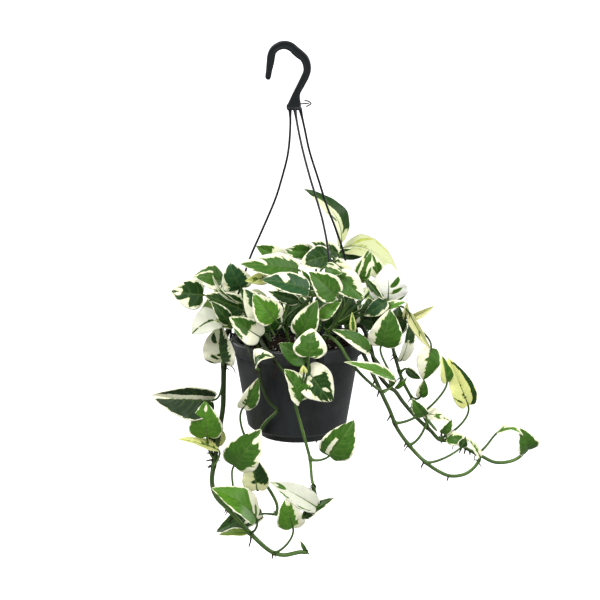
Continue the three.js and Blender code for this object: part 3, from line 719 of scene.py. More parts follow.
def leaf_blade():
    """Green where the green field plus a slow noise is above 0, cream below.

    Quick flecks lighten the green, and tint the cream close to the edge.
    """
    material, tree, shader = new_material("variegated_leaf_blade")
    run = add_node(tree, "Attribute", out="Vector", attribute_name="vein_run")
    deep = add_node(tree, "Attribute", out="Vector", attribute_name="leaf_green")
    pale = add_node(tree, "Attribute", out="Vector", attribute_name="leaf_cream")
    field = add_node(tree, "Attribute", out="Fac", attribute_name="green_field")
    veins = add_node(tree, "Attribute", out="Fac", attribute_name="vein_line")
    below = add_node(tree, "Attribute", out="Fac", attribute_name="underside")

    slow = add_node(tree, "TexNoise", {0: run, "Scale": 0.75, "Detail": 3, "Roughness": 0.62})
    quick = add_node(tree, "TexNoise", {0: run, "Scale": 3.1, "Roughness": 0.6})
    ragged = add_node(tree, "MapRange", {0: slow, 3: -3.8, 4: 3.0}, clamp=False)
    edge = add_node(tree, "Math", {0: field, 1: ragged})
    green = add_node(tree, "MapRange", {0: edge, 1: -0.05, 2: 0.12})
    halo = add_node(tree, "MapRange", {0: edge, 1: -0.8, 2: -0.1})
    mottle = add_node(tree, "MapRange", {0: quick, 1: 0.32, 2: 0.7})
    half = add_node(tree, "Math", {0: mottle, 1: 0.85}, operation="MULTIPLY")
    fringe = add_node(tree, "Math", {0: halo, 1: mottle}, operation="MULTIPLY")
    faint = add_node(tree, "Math", {0: veins, 1: 0.14}, operation="MULTIPLY")

    leaf = add_node(tree, "Mix", {0: half, 6: deep, 7: FLECK}, out=2, data_type="RGBA",
                    blend_type="MULTIPLY")
    cream = add_node(tree, "Mix", {0: fringe, 6: pale, 7: FRINGE}, out=2, data_type="RGBA",
                     blend_type="MULTIPLY")
    upper = add_node(tree, "Mix", {0: green, 6: cream, 7: leaf}, out=2, data_type="RGBA")
    upper = add_node(tree, "Mix", {0: faint, 6: upper, 7: VEIN}, out=2, data_type="RGBA")
    lower = add_node(tree, "Mix", {0: 0.4, 6: upper, 7: UNDERSIDE}, out=2, data_type="RGBA")
    base = add_node(tree, "Mix", {0: below, 6: upper, 7: lower}, out=2, data_type="RGBA")

    rough = add_node(tree, "MapRange", {0: quick, 3: 0.36, 4: 0.52})
    quilt = add_node(tree, "Bump", {"Height": quick, "Distance": 0.2 * MM})
    relief = add_node(tree, "Bump", {"Height": veins, "Distance": -0.12 * MM, "Normal": quilt})
    set_inputs(tree, shader, {
        "Base Color": base, "Roughness": rough, "IOR": 1.42, "Specular IOR Level": 0.4,
        "Subsurface Weight": 0.1, "Subsurface Radius": (0.6, 1.0, 0.3),
        "Subsurface Scale": 0.0015, "Normal": relief})
    return material


BLADE = leaf_blade()

# %% [markdown]
# Stems and petioles are smooth and a little glossy, fresh green on top and
# darker and browner with age, with pale streaks that run along them, a few
# millimetres wide and about 25 mm long. At each joint of the long stems dry
# aerial roots stand out, brown and corky. The place along the stem comes as
# an attribute, so that the streaks follow every bend.


# %% Stem and root
def green_stem():
    """Streaks of pale over green, in a fresh and an old set that age mixes."""
    material, tree, shader = new_material("green_stem")
    streak = add_node(tree, "Attribute", out="Vector", attribute_name="stem_run")
    age = add_node(tree, "Attribute", out="Fac", attribute_name="stem_age")
    lines = add_node(tree, "TexNoise", {0: streak, "Scale": 1, "Detail": 3})
    fresh = add_node(tree, "ValToRGB", {0: lines},
                     stops=[(0.35, "35541C"), (0.6, "577B32"), (0.8, "A9BC74")])
    old = add_node(tree, "ValToRGB", {0: lines},
                   stops=[(0.35, "11140A"), (0.65, "1F2612"), (0.85, "444D2A")])
    base = add_node(tree, "Mix", {0: age, 6: fresh, 7: old}, out=2, data_type="RGBA")
    relief = add_node(tree, "Bump", {"Height": lines, "Distance": 0.2 * MM})
    set_inputs(tree, shader, {
        "Base Color": base, "Normal": relief, "Roughness": 0.5, "Specular IOR Level": 0.35,
        "Subsurface Weight": 0.08, "Subsurface Scale": 0.0015})
    return material


STEM = green_stem()
ROOT = crumbly("corky_root", 1.2, [(0.3, "140D08"), (0.6, "2A1C12"), (0.85, "4A3826")], 0.3)

# %% [markdown]
# The leaf's form is the solid's, with finer steps: a heart-shaped blade over
# an arched midrib, at the end of a petiole. First come its outline and the
# directions that it lies in. A steady draw gives each leaf its own wave.

# %% Outline and midrib of a leaf
LOBE, LOBE_AT = 0.055, 0.06
WIDEST, ROUND = 0.66, 0.8
TURN = 6.28  # a whole turn in radians, near enough for a random angle


def draw(i, k):
    """A steady draw between 0 and 1 from two whole numbers."""
    v = np.sin(i * 12.9898 + k * 78.233) * 43758.5453
    return v - np.floor(v)


def unit(v):
    """The same direction, with a length of one."""
    return v / np.linalg.norm(v, axis=-1, keepdims=True)


def half_width(t):
    """The outline: the sine of pi t^0.66, to the power 0.8."""
    return np.maximum(np.sin(np.pi * t ** WIDEST), 0) ** ROUND


def lobe_reach(t):
    """How far the lobes reach back: (t/h) exp(1 - t/h), which is 1 at t = h."""
    return (t / LOBE_AT) * np.exp(1 - t / LOBE_AT)


def leaf_frame(leaf):
    """Midrib and directions of a blade: its normal starts at the side that the
    leaf faces, square to its length, and rolls about its length."""
    chord = leaf["tip"] - leaf["base"]
    length = np.linalg.norm(chord)
    chord = chord / length
    face = unit(leaf["toward"] - chord * (leaf["toward"] @ chord))
    roll = np.radians(leaf["roll"])
    normal = face * np.cos(roll) + np.cross(chord, face) * np.sin(roll)
    knee = leaf["base"] + chord * 0.45 * length + normal * 2 * leaf["bow"] * length
    return length, np.cross(chord, normal), knee


def midrib_at(leaf, s):
    """Points, directions and normals of the midrib, at s from base to tip.

    The midrib is a quadratic curve that the knee draws towards itself.
    """
    side, knee = leaf_frame(leaf)[1:]
    base, tip = leaf["base"], leaf["tip"]
    points = (1 - s) ** 2 * base + 2 * s * (1 - s) * knee + s ** 2 * tip
    ahead = unit((1 - s) * (knee - base) + s * (tip - knee))
    return points, ahead, np.cross(side, ahead)


STEPS = np.linspace(0, 1, 101)
print("a blade is widest at", STEPS[half_width(STEPS).argmax()], "of its length")

# %% [markdown]
# Where the blade is green is worked out here, and carried to the finish. The
# pattern has to follow each leaf of the photograph, so it is a field over the
# blade, with patches and stripes that are given for each leaf.

# %% Pattern of a leaf
VEIN_SLOPE = 0.30
SPOT_ALONG, SPOT_ACROSS = 0.8, 1.4
END_SOFT, SPOT_SOFT, STRIPE_SOFT = 2.5, 1.6, 0.9  # mm


def along_veins(s, a):
    """The place on the midrib that the side vein at s and a starts from."""
    return s - VEIN_SLOPE * a ** 1.4


def green_field(leaf, s, u, half, length, phase_of_vein):
    """Above 0 where the tissue is green, below 0 where it is cream.

    Each half is green from the midrib to its own reach, counted in mm over the
    width that the edge wanders; the tip and the base may be cream; and patches
    along the veins and stripes along the blade are added to the green or taken
    from it.
    """
    look = leaf["look"]
    a = np.abs(u)
    reach = np.where(u < 0, look["left"], look["right"])
    wander = np.clip(0.75 * np.abs(1 - reach) * leaf["width"] / 2, 0.8, 3.4)
    field = (reach - a) * half / wander
    field = np.minimum(field, (look["tip"] - s) * length / END_SOFT)
    field = np.minimum(field, (s - look["from"]) * length / END_SOFT)
    for t0, u0, size, sign in look["patches"]:
        run = phase_of_vein - along_veins(t0, abs(u0)) * length
        away = np.hypot(run / SPOT_ALONG, (u - u0) * leaf["width"] / 2 / SPOT_ACROSS)
        spot = (size - away) / SPOT_SOFT
        field = np.maximum(field, spot) if sign > 0 else np.minimum(field, -spot)
    for u0, size, t0, t1, sign in look["stripes"]:
        ends = np.minimum(s - t0, t1 - s) * length / END_SOFT
        band = np.minimum((size / 2 - np.abs(u - u0) * half) / STRIPE_SOFT, ends)
        field = np.maximum(field, band) if sign > 0 else np.minimum(field, -band)
    return np.broadcast_to(field, (s.shape[0], u.shape[1]))


print("a side vein ends", VEIN_SLOPE, "of the length past its start")

# %% [markdown]
# The blade is a thin sheet with a top and an underside, which share their
# margin. Both are grids over the midrib. Its fold, its two waves and the
# relief of its veins are heights over the midrib, so they simply add up.

# %% Blade
THICK = 0.7  # mm, at the middle of the blade
VEIN_PITCH = 8.0  # mm from one side vein to the next
RUN_ALONG, RUN_ACROSS = 5.5, 13  # mm that the blade's noise counts as one
ROW_STEP, COLUMN_STEP = 1.5, 2.6  # mm


def blade_grid(leaf):
    """Top and bottom points of a blade, with what its finish needs.

    At t along the midrib and u across, from -1 to 1, a point lies on the
    midrib, back by the lobes' reach, u times the half width to the side, and
    up by |u| times the fold plus a wave that grows to the margin.
    """
    length, side = leaf_frame(leaf)[:2]
    rows = int(np.clip(length / ROW_STEP, 16, 44))
    columns = 2 * int(np.clip(leaf["width"] / COLUMN_STEP, 5, 15)) + 1
    u = np.linspace(-1, 1, columns)[None, :]
    s = (np.linspace(0, 1, rows) ** 1.25)[:, None]
    a = np.abs(u)
    midrib, ahead, up = midrib_at(leaf, s)
    half = np.maximum(0.3, leaf["width"] / 2 * half_width(s)) + 0 * u
    seed = leaf["seed"]
    phase = TURN * np.where(u < 0, draw(seed, 1), draw(seed, 2))
    wave = 0.09 * half * a ** 2 * np.sin(phase + 9 * s)
    wave = wave + 0.035 * half * a ** 3 * np.sin(2.3 * phase + 25 * s)
    fold = np.radians(leaf["fold"])
    phase_of_vein = along_veins(s, a) * length
    drift = 1.6 * np.sin(0.11 * phase_of_vein + seed) + 0.8 * np.sin(0.31 * phase_of_vein)
    ridge = 0.5 + 0.5 * np.cos(2 * np.pi * (phase_of_vein + drift) / VEIN_PITCH)
    relief = -0.35 * np.exp(-(u * half / 1.0) ** 2) - 0.12 * ridge ** 6 * (1 - a) * (a > 0)
    lift = a * half * np.sin(fold) + wave + relief
    back = LOBE * length * a ** 1.5 * lobe_reach(s)
    middle = (midrib[:, None] - ahead[:, None] * back[..., None]
              + side * (u * half * np.cos(fold))[..., None] + up[:, None] * lift[..., None])
    thick = THICK / 2 * np.sqrt(np.clip(1 - a ** 6, 0, 1)) * np.ones_like(half)
    thick[[0, -1]] = 0
    top = middle + up[:, None] * thick[..., None]
    bottom = middle - up[:, None] * thick[..., None]
    x = u * half
    run = np.stack([phase_of_vein / RUN_ALONG + 0 * x, x / RUN_ACROSS,
                    np.full(x.shape, 3.7 * seed)], axis=-1)
    vein = np.maximum(ridge ** 10 * np.clip(1.1 - a, 0, 1), np.exp(-(x / 0.7) ** 2))
    return top, bottom, dict(
        vein_run=run, green_field=green_field(leaf, s, u, half, length, phase_of_vein),
        vein_line=vein + 0 * x, underside=np.zeros(x.shape))


def add_blade(parts, leaf):
    """Adds the two grids; the underside borrows the top's points at the margin."""
    top, bottom, looks = blade_grid(leaf)
    rows, columns = top.shape[:2]
    below = np.arange(rows * columns).reshape(rows, columns)
    below[1:-1, 1:-1] = rows * columns + np.arange((rows - 2) * (columns - 2)).reshape(
        rows - 2, columns - 2)
    faces = grid_faces(rows, columns)
    under = below.ravel()[faces][:, ::-1]
    inner = (slice(1, -1), slice(1, -1))
    points = np.concatenate([top.reshape(-1, 3), bottom[inner].reshape(-1, 3)])
    data = {}
    for key, value in looks.items():
        low = value[inner] if key != "underside" else np.ones_like(value[inner])
        width = value.shape[2:]
        data[key] = np.concatenate([value.reshape(-1, *width), low.reshape(-1, *width)])
    for key in ("green", "cream"):
        data["leaf_" + key] = np.tile(colour(leaf["look"][key])[:3], (len(points), 1))
    parts.add(points, [faces, under], **data)


print("side veins are", VEIN_PITCH, "mm apart")

# %% [markdown]
# A petiole is slim and stiff. It leaves the stem at a slant, sheathes it at
# its foot, and bends again where it takes the blade's weight. Here it is one
# rod that goes on under the blade as the midrib, so the two can't come apart.

# %% Petiole
PETIOLE_SIDES = 8
STREAK_LONG = 25  # mm that the stem's noise counts as one
STREAK_ROUND = 1.1  # radius of the circle that the noise is read on round a stem


def put_rod(parts, path, across, radius, sides, seed, age):
    """A rod with the attributes of a stem: streaks that follow it, and its age."""
    around = 2 * np.pi * np.arange(sides) / sides
    run = np.stack([
        np.repeat(distance_along(path) / STREAK_LONG, sides),
        np.tile(STREAK_ROUND * np.cos(around), len(path)) + 5.3 * seed,
        np.tile(STREAK_ROUND * np.sin(around), len(path))], axis=1)
    ages = np.repeat(np.broadcast_to(age, len(path)), sides)
    sweep(parts, path, across, radius, radius, sides, stem_run=run, stem_age=ages)


def add_petiole(parts, leaf, root, along):
    """A cubic curve from the stem to the blade, and on under the midrib.

    It leaves half along the stem, swells where it joins it and again at the
    blade, and thins out under the last part of the midrib.
    """
    length, side, knee = leaf_frame(leaf)
    base = leaf["base"]
    span = np.linalg.norm(base - root)
    leave = unit(1.3 * unit(base - root) + along)
    start = unit(knee - base)
    b = root + leave * 0.33 * span
    c = base - start * min(0.35 * span, 0.5 * length)
    q = np.linspace(0, 1, max(int(span / 2), 6))[:, None]
    stalk = ((1 - q) ** 3 * root + 3 * q * (1 - q) ** 2 * b + 3 * q ** 2 * (1 - q) * c
             + q ** 3 * base)
    s = np.linspace(0.03, 0.85, 18)[:, None]
    rib, _, up = midrib_at(leaf, s)
    path = np.vstack([stalk, rib - up * 0.35])
    q, s = q[:, 0], s[:, 0]
    radius = np.concatenate([
        1.6 - 0.45 * q + 0.9 * np.exp(-(q * span / 3) ** 2)
        + 0.25 * np.exp(-((1 - q) * span / 2) ** 2),
        1.0 * (1 - s / 0.9) + 0.12])
    across = side - leave * (side @ leave)
    age = 0.15 + 0.3 * draw(leaf["seed"], 5)
    put_rod(parts, path, unit(across), radius, PETIOLE_SIDES, leaf["seed"], age)


# %% [markdown]
# The looks come first. The greens differ by age and by light, so each leaf
# names its own, and says how far the green reaches to the left and the right
# of the midrib as the leaf points.

# %% Looks of the leaves
GREENS = {"deep": "0D2608", "dark": "16380C", "mid": "2E5713", "light": "40701A",
          "blue": "1C4323", "new": "27500A", "olive": "4C6624", "lime": "98A552"}
# Three brightnesses of the one cream tissue: the first is its own colour, the second is near-white
# tissue brightened further with painted light, and the third is cream greyed with painted shade.
CREAM, CREAM_WITH_PAINTED_LIGHT, CREAM_WITH_PAINTED_SHADE = "F6F6DA", "FFFFF6", "D4D6C4"
YELLOW, STRAW = "E0E392", "CFCE96"


def look(green="mid", left=0.86, right=0.86, tip=1.1, start=-1.0, cream=CREAM,
         patches=(), stripes=()):
    """How a blade is patterned.

    left and right are how much of each half is green, counted from the midrib;
    start and tip are where the green begins and ends from base to tip. A patch
    is a place along, a place across, a size in mm and 1 for green or -1 for
    cream. A stripe is a place across, a width in mm, its two ends, and 1 or -1.
    """
    return {"green": GREENS[green], "left": left, "right": right, "tip": tip,
            "from": start, "cream": cream, "patches": patches, "stripes": stripes}


print("greens:", ", ".join(GREENS))

# %% [markdown]
# Now the plant itself, as the photograph shows it. Each stem has a name, a
# radius in mm and a path in the front view, from the soil outwards. Each leaf
# has its place on the stem, the base and the tip of its blade in that view,
# its width in mm, its roll and fold in degrees, its arch, and its look.

# %% Vines to the left and over the front
VINES = [
    ("vine_long_left", 3.4,
     [(262, 346, -15), (250, 331, -14), (237, 321, -12), (227, 333, -9),
      (224, 364, -7), (223.5, 387, -6), (223, 407, -5), (221, 421, -5),
      (215, 458, -8), (212, 482, -14), (216, 496, -18), (229, 510, -24),
      (250, 533, -30), (272, 552, -26), (284, 555, -22), (301, 552, -14),
      (308, 553, -12)],
     [(4, 223, 362, -16, 221, 324, -26, 42, -20, 18, 0.12,
       look("dark", 0.06, 0.72, patches=((0.7, -0.5, 4.5, 1), (0.12, -0.95, 4.5, 1),
                                         (0.2, -0.4, 3.5, 1)))),
      (4.1, 213, 400, -12, 152, 395, -20, 46, -4, 30, 0.1,
       look("deep", 0.95, 0.93, stripes=((0.22, 7, 0.02, 1.0, -1),))),
      (8, 207, 437, -16, 205, 401, -24, 40, 0, 10, 0.12,
       look("light", 0.93, 0.9, patches=((0.85, 0.1, 4, -1),))),
      (8.1, 213, 445, 2, 216, 424, 10, 26, 30, 20, 0.1, look("dark", 0.9, 0.4, cream=YELLOW)),
      (8.3, 218, 450, -12, 178, 439, -22, 20, 72, 12, 0.05, look("olive", 0.3, 0.3, cream=YELLOW)),
      (11, 234, 466, -50, 261, 429, -64, 43, -5, 8, 0.12,
       look("mid", 0.92, 0.84, patches=((0.84, 0.4, 5, -1), (0.3, 0.9, 5, -1)))),
      (12, 256, 518, -42, 211, 488, -50, 38, 50, 12, 0.14,
       look("light", 0.92, 0.92, patches=((0.16, 0.9, 12, -1), (0.3, 0.75, 8, -1),
                                          (0.1, 0.4, 4.5, 1)))),
      (12, 246, 533, -32, 218, 535, -34, 13, 55, 15, 0.06, look("olive")),
      (13.2, 293, 528, -36, 286, 498, -42, 34, 0, 12, 0.1,
       look("light", 0.93, 0.5, patches=((0.9, -0.1, 3, -1),))),
      (16, 306, 551, -12, 300, 540, -12, 5, 0, 10, 0.1, look("new", 1.2, 1.2))]),
    ("vine_front", 2.3,
     [(268, 347, -25), (262, 335, -42), (259.5, 338, -58), (264, 346, -70),
      (270, 354, -79), (278, 364, -84), (286, 375, -86), (291, 387, -86),
      (294, 398, -86), (297.5, 413, -85), (302, 429, -83), (307, 447, -81),
      (310, 459, -80), (312, 480, -78), (314, 487, -77)],
     [(2, 260, 337, -64, 229, 317, -76, 30, 10, 15, 0.12,
       look("mid", 0.97, 0.85, start=0.42, stripes=((-0.6, 2.5, 0.3, 1.0, -1),))),
      (7.8, 309, 357, -98, 312, 328, -94, 38, 0, 12, 0.08, look("mid", 0.8, 0.72, tip=0.86)),
      (7.6, 306, 361, -92, 279, 343, -88, 24, 10, 8, 0.1, look("new", 1.1, 1.1)),
      (7.4, 304, 373, -98, 303, 365, -100, 9, 0, 20, 0.1, look("olive", 0.1, 0.1, cream=YELLOW)),
      (8, 306, 368, -86, 332, 402, -86, 41, 0, 8, 0.12,
       look("dark", 0.85, 0.72, start=0.28, patches=((0.7, -0.25, 3.4, -1),))),
      (8, 300, 401, -92, 284, 369, -94, 36, 40, 30, 0.08, look("mid", 0.55, 0.82)),
      (12, 329, 456, -86, 354, 420, -94, 39, 0, 10, 0.12,
       look("mid", 0.92, 0.93, stripes=((-0.3, 3.5, 0.1, 0.5, -1),))),
      (13.9, 316, 507, -76, 270, 482, -84, 27, 30, 14, 0.1,
       look("mid", -0.2, -0.2, cream=CREAM_WITH_PAINTED_SHADE, patches=((0.78, 0.1, 6, 1),),
            stripes=((-0.8, 1.5, 0.1, 0.8, 1),))),
      (14, 305, 517, -74, 334, 498, -72, 16, -50, 14, 0.06, look("dark"))]),
    ("vine_front_left", 2.5,
     [(250, 345, -30), (248, 333, -46), (246, 341, -66), (250, 355, -76),
      (258, 369, -79), (262.5, 387, -75), (270, 403, -70), (277, 410, -67),
      (268, 420, -59), (261, 429, -50), (256, 445, -39), (258, 465, -32),
      (263, 481, -29), (269, 489, -26), (277, 505, -18), (276, 516, -10)],
     [(4, 256, 366, -86, 275, 357, -90, 22, -55, 10, 0.5, look("dark", 0.5, 0.55)),
      (10.2, 243, 408, -58, 258, 378, -70, 23, 15, 15, 0.1, look("mid", 0.5, 0.92, start=0.12)),
      (12, 257, 490, -34, 253, 455, -36, 31, 0, 10, 0.1,
       look("dark", 0.35, 0.95, start=0.22, cream="E6E6B4")),
      (15, 262, 514, -6, 216, 532, 6, 26, 35, 14, 0.1,
       look("dark", 0.93, 0.93, stripes=((-0.3, 3, 0.03, 0.35, -1),)))]),
]
print("stems so far:", len(VINES))

# %% [markdown]
# To the right four vines climb over the rim and hang in long shallow curves,
# one behind another.

# %% Vines to the right
VINES += [
    ("vine_right_low", 2.7,
     [(318, 348, -18), (328, 336, -32), (340, 334, -42), (350, 336, -43),
      (357, 342, -42), (362, 351, -42), (369, 366, -42), (376, 381, -42),
      (383, 396, -42), (390, 411, -42), (397, 428, -41), (409, 445, -40),
      (423, 460, -39), (439, 471.5, -38), (451, 476, -37), (465, 474, -36),
      (474.5, 467, -35), (480, 459, -34)],
     [(9.7, 447, 382, -50, 442, 356, -54, 17, 15, 20, 0.08,
       look("mid", 0.0, 0.9, cream=YELLOW)),
      (11, 425, 415, -52, 412, 398, -58, 17, -15, 12, 0.15, look("mid", 0.95, 0.95)),
      (12.2, 461, 447, -46, 466, 436, -48, 12, 0, 10, 0.1, look("dark")),
      (17, 480, 457, -38, 467, 437, -42, 10, 30, 20, 0.08, look("light", 0.3, 0.3))]),
    ("vine_right_middle", 2.7,
     [(338, 343, 5), (350, 329, 0), (361, 326, -6), (369, 342, -13),
      (374, 360, -18), (380, 376, -22), (389, 387, -25), (395, 391, -26),
      (403, 402, -27), (417, 418, -27), (431, 431, -27), (439, 439, -27),
      (456, 442, -26), (467.5, 449, -25), (481.5, 456, -24), (494, 462, -23),
      (507, 462, -21), (518, 458, -19), (526, 450, -18)],
     [(6, 369, 351, -54, 332, 330, -68, 20, 40, 12, 0.12, look("mid", 0.7, 0.95)),
      (6.2, 381, 346, -32, 390, 309, -36, 40, 10, 10, 0.12, look("mid", 0.62, 0.92)),
      (9.7, 424, 414, -34, 450, 421, -40, 16, -35, 14, 0.2, look("mid", 0.5, 0.5, start=0.4)),
      (11, 468, 405, -34, 448, 358, -42, 30, 10, 20, 0.06,
       look("dark", 0.0, 0.0, cream=YELLOW, stripes=((0.78, 5, 0.0, 0.95, 1),),
            patches=((0.2, -0.6, 4, 1), (0.55, 0.8, 2.2, -1)))),
      (11.2, 442, 433, -36, 452, 419, -40, 14, 20, 12, 0.1, look("mid")),
      (12, 447, 438, -34, 469, 441, -38, 18, -25, 14, 0.15, look("mid", 0.6, 0.8)),
      (13.6, 497, 433, -30, 524, 436, -34, 14, -65, 10, 0.3, look("light", 0.5, 0.8)),
      (18, 527, 450, -20, 520, 428, -28, 28, 15, 22, 0.2, look("mid", 0.9, 0.9))]),
    ("vine_right_back", 2.4,
     [(345, 340, 30), (361, 320, 22), (378, 316, 14), (389, 328, 8),
      (392, 344, 5), (397, 363.5, 2), (402, 379, 0), (409, 393, -2),
      (420, 410, -4), (431, 424, -5), (437, 431, -6)],
     [(4.6, 401, 360, 10, 410, 313, 14, 19, 35, 20, 0.1,
       # This leaf's cream is brightened with painted light, where the leaf lies in shade.
       look("dark", 0.95, 0.85, start=0.42, cream="FAFAE4")),
      (6, 396, 388, -2, 407, 377, -6, 8, 20, 20, 0.05, look("light", 1.1, 1.1)),
      (5.5, 407, 369, -4, 421, 379, -6, 11, 10, 14, 0.1, look("dark")),
      (7.3, 420, 397, -10, 424, 379, -14, 15, 10, 14, 0.1, look("mid", 0.5, 0.95)),
      (2.2, 373, 329, 22, 368, 297, 26, 32, 0, 10, 0.1, look("dark", 0.9, 0.9)),
      (3, 394, 334, 16, 399, 306, 20, 26, 0, 10, 0.1, look("dark", 0.8, 0.9))]),
    ("vine_right_front", 2.2,
     [(322, 349, -40), (324, 336, -56), (332, 338, -70), (341, 347, -77),
      (348, 359, -77), (358, 371, -74), (368, 381, -69), (378, 389, -64),
      (384, 392, -62)],
     [(8, 394, 379, -68, 344, 362, -88, 16, 45, 20, 0.08, look("light", 0.8, 0.8))]),
]
print("stems so far:", len(VINES))

# %% [markdown]
# The crown is made by short shoots that stay over the soil. Their petioles
# are long and carry the largest leaves, some of them almost all cream.

# %% Shoots to the right and in the middle
VINES += [
    ("shoot_right_low", 1.8, [(322, 346, -6), (330, 333, -12), (339, 322, -16)],
     [(2, 386, 301, -30, 364, 316, -34, 20, 0, 12, 0.1, look("blue", 0.75, 0.9)),
      (2, 383, 309, -22, 406, 302, -24, 13, -40, 12, 0.1, look("light", 0.6, 0.9)),
      (1.7, 388, 300, -14, 389, 263, -22, 44, 0, 8, 0.12,
       look("mid", -0.2, -0.2, cream=CREAM_WITH_PAINTED_LIGHT, patches=((0.55, 0.4, 5, 1), (0.32, 0.35, 5, 1),
                                                     (0.25, -0.5, 3.5, 1), (0.12, 0.9, 4, 1)))),
      (1.5, 359, 281, -24, 370, 249, -28, 21, 0, 12, 0.1,
       look("mid", 0.85, 0.8, stripes=((-0.35, 2, 0.1, 0.8, -1), (0.5, 2, 0.2, 0.7, -1)))),
      (1.3, 367, 281, -32, 384, 300, -36, 10, 0, 10, 0.1, look("dark", 0.9, 0.9)),
      (1.6, 379, 276, -6, 372, 254, -6, 18, 0, 10, 0.1, look("mid", 0.4, 0.7))]),
    ("shoot_right_front", 1.8, [(319, 350, -32), (327, 337, -40), (334, 325, -46)],
     [(2, 338, 274, -64, 364, 300, -72, 30, -10, 10, 0.1, look("mid", 0.5, 0.92)),
      (2, 334, 262, -52, 358, 284, -56, 22, 5, 10, 0.1, look("dark", 0.4, 0.8)),
      (1.6, 337, 296, -76, 309, 272, -82, 32, 15, 8, 0.1, look("mid", 0.88, 0.85)),
      (1.4, 337, 295, -74, 299, 297, -71, 13, 50, 10, 0.1, look("mid")),
      (1.2, 320, 318, -73, 342, 300, -70, 17, -25, 10, 0.08, look("light", 0.9, 0.8)),
      (1.6, 353, 332, -52, 352, 312, -56, 9, 0, 30, 0.06,
       look("light", 0.6, 0.7, cream=YELLOW))]),
    ("shoot_middle", 1.8, [(303, 345, -10), (307, 332, -16), (309, 318, -20)],
     [(2, 338, 254, -28, 311, 242, -34, 18, 20, 14, 0.14,
       look("dark", 0.9, 0.7, patches=((0.6, 0.6, 2.5, -1),))),
      (2, 330, 256, -44, 300, 264, -44, 28, 25, 14, 0.1, look("dark", 0.95, 0.92, tip=0.8)),
      (1.6, 312, 251, -22, 283, 250, -28, 20, 0, 12, 0.12,
       look("mid", 0.9, 0.75, patches=((0.85, 0.4, 3, -1),))),
      (1.2, 304, 326, 30, 290, 290, 40, 38, 0, 10, 0.1, look("dark", 0.9, 0.9)),
      (1.1, 320, 328, 20, 324, 294, 30, 36, 0, 10, 0.1, look("dark", 0.9, 0.9))]),
    ("shoot_middle_left", 1.8, [(290, 348, -30), (287, 334, -38), (285, 321, -44)],
     [(2, 298, 270, -58, 240, 264, -72, 30, 30, 10, 0.08,
       look("mid", 0.9, 0.8, patches=((0.74, 0.6, 5, -1), (0.42, 0.8, 3, -1)))),
      (1.8, 285, 258, -44, 256, 246, -48, 22, 0, 12, 0.1, look("mid", 0.9, 0.9, start=0.5)),
      (2, 308, 290, -92, 261, 280, -96, 28, 40, 15, 0.1,
       look("blue", 0.92, 0.9, patches=((0.62, 0.75, 3.4, -1), (0.55, 0.3, 2.6, -1)))),
      (1.6, 275, 320, -84, 253, 294, -92, 33, 5, 10, 0.1, look("light", 0.85, 0.75)),
      (1.5, 270, 277, -50, 245, 281, -56, 15, 10, 10, 0.1,
       look("olive", 0.2, 0.3, cream=YELLOW)),
      (1.4, 298, 301, -64, 268, 291, -70, 15, 0, 10, 0.1, look("dark")),
      (1.2, 272, 331, 24, 260, 300, 34, 36, 0, 10, 0.1, look("dark", 0.9, 0.9))]),
]

# %% [markdown]
# Those to the left spread low over the rim. The tall one stands behind the
# strands, and its two palest leaves are the highest of all.

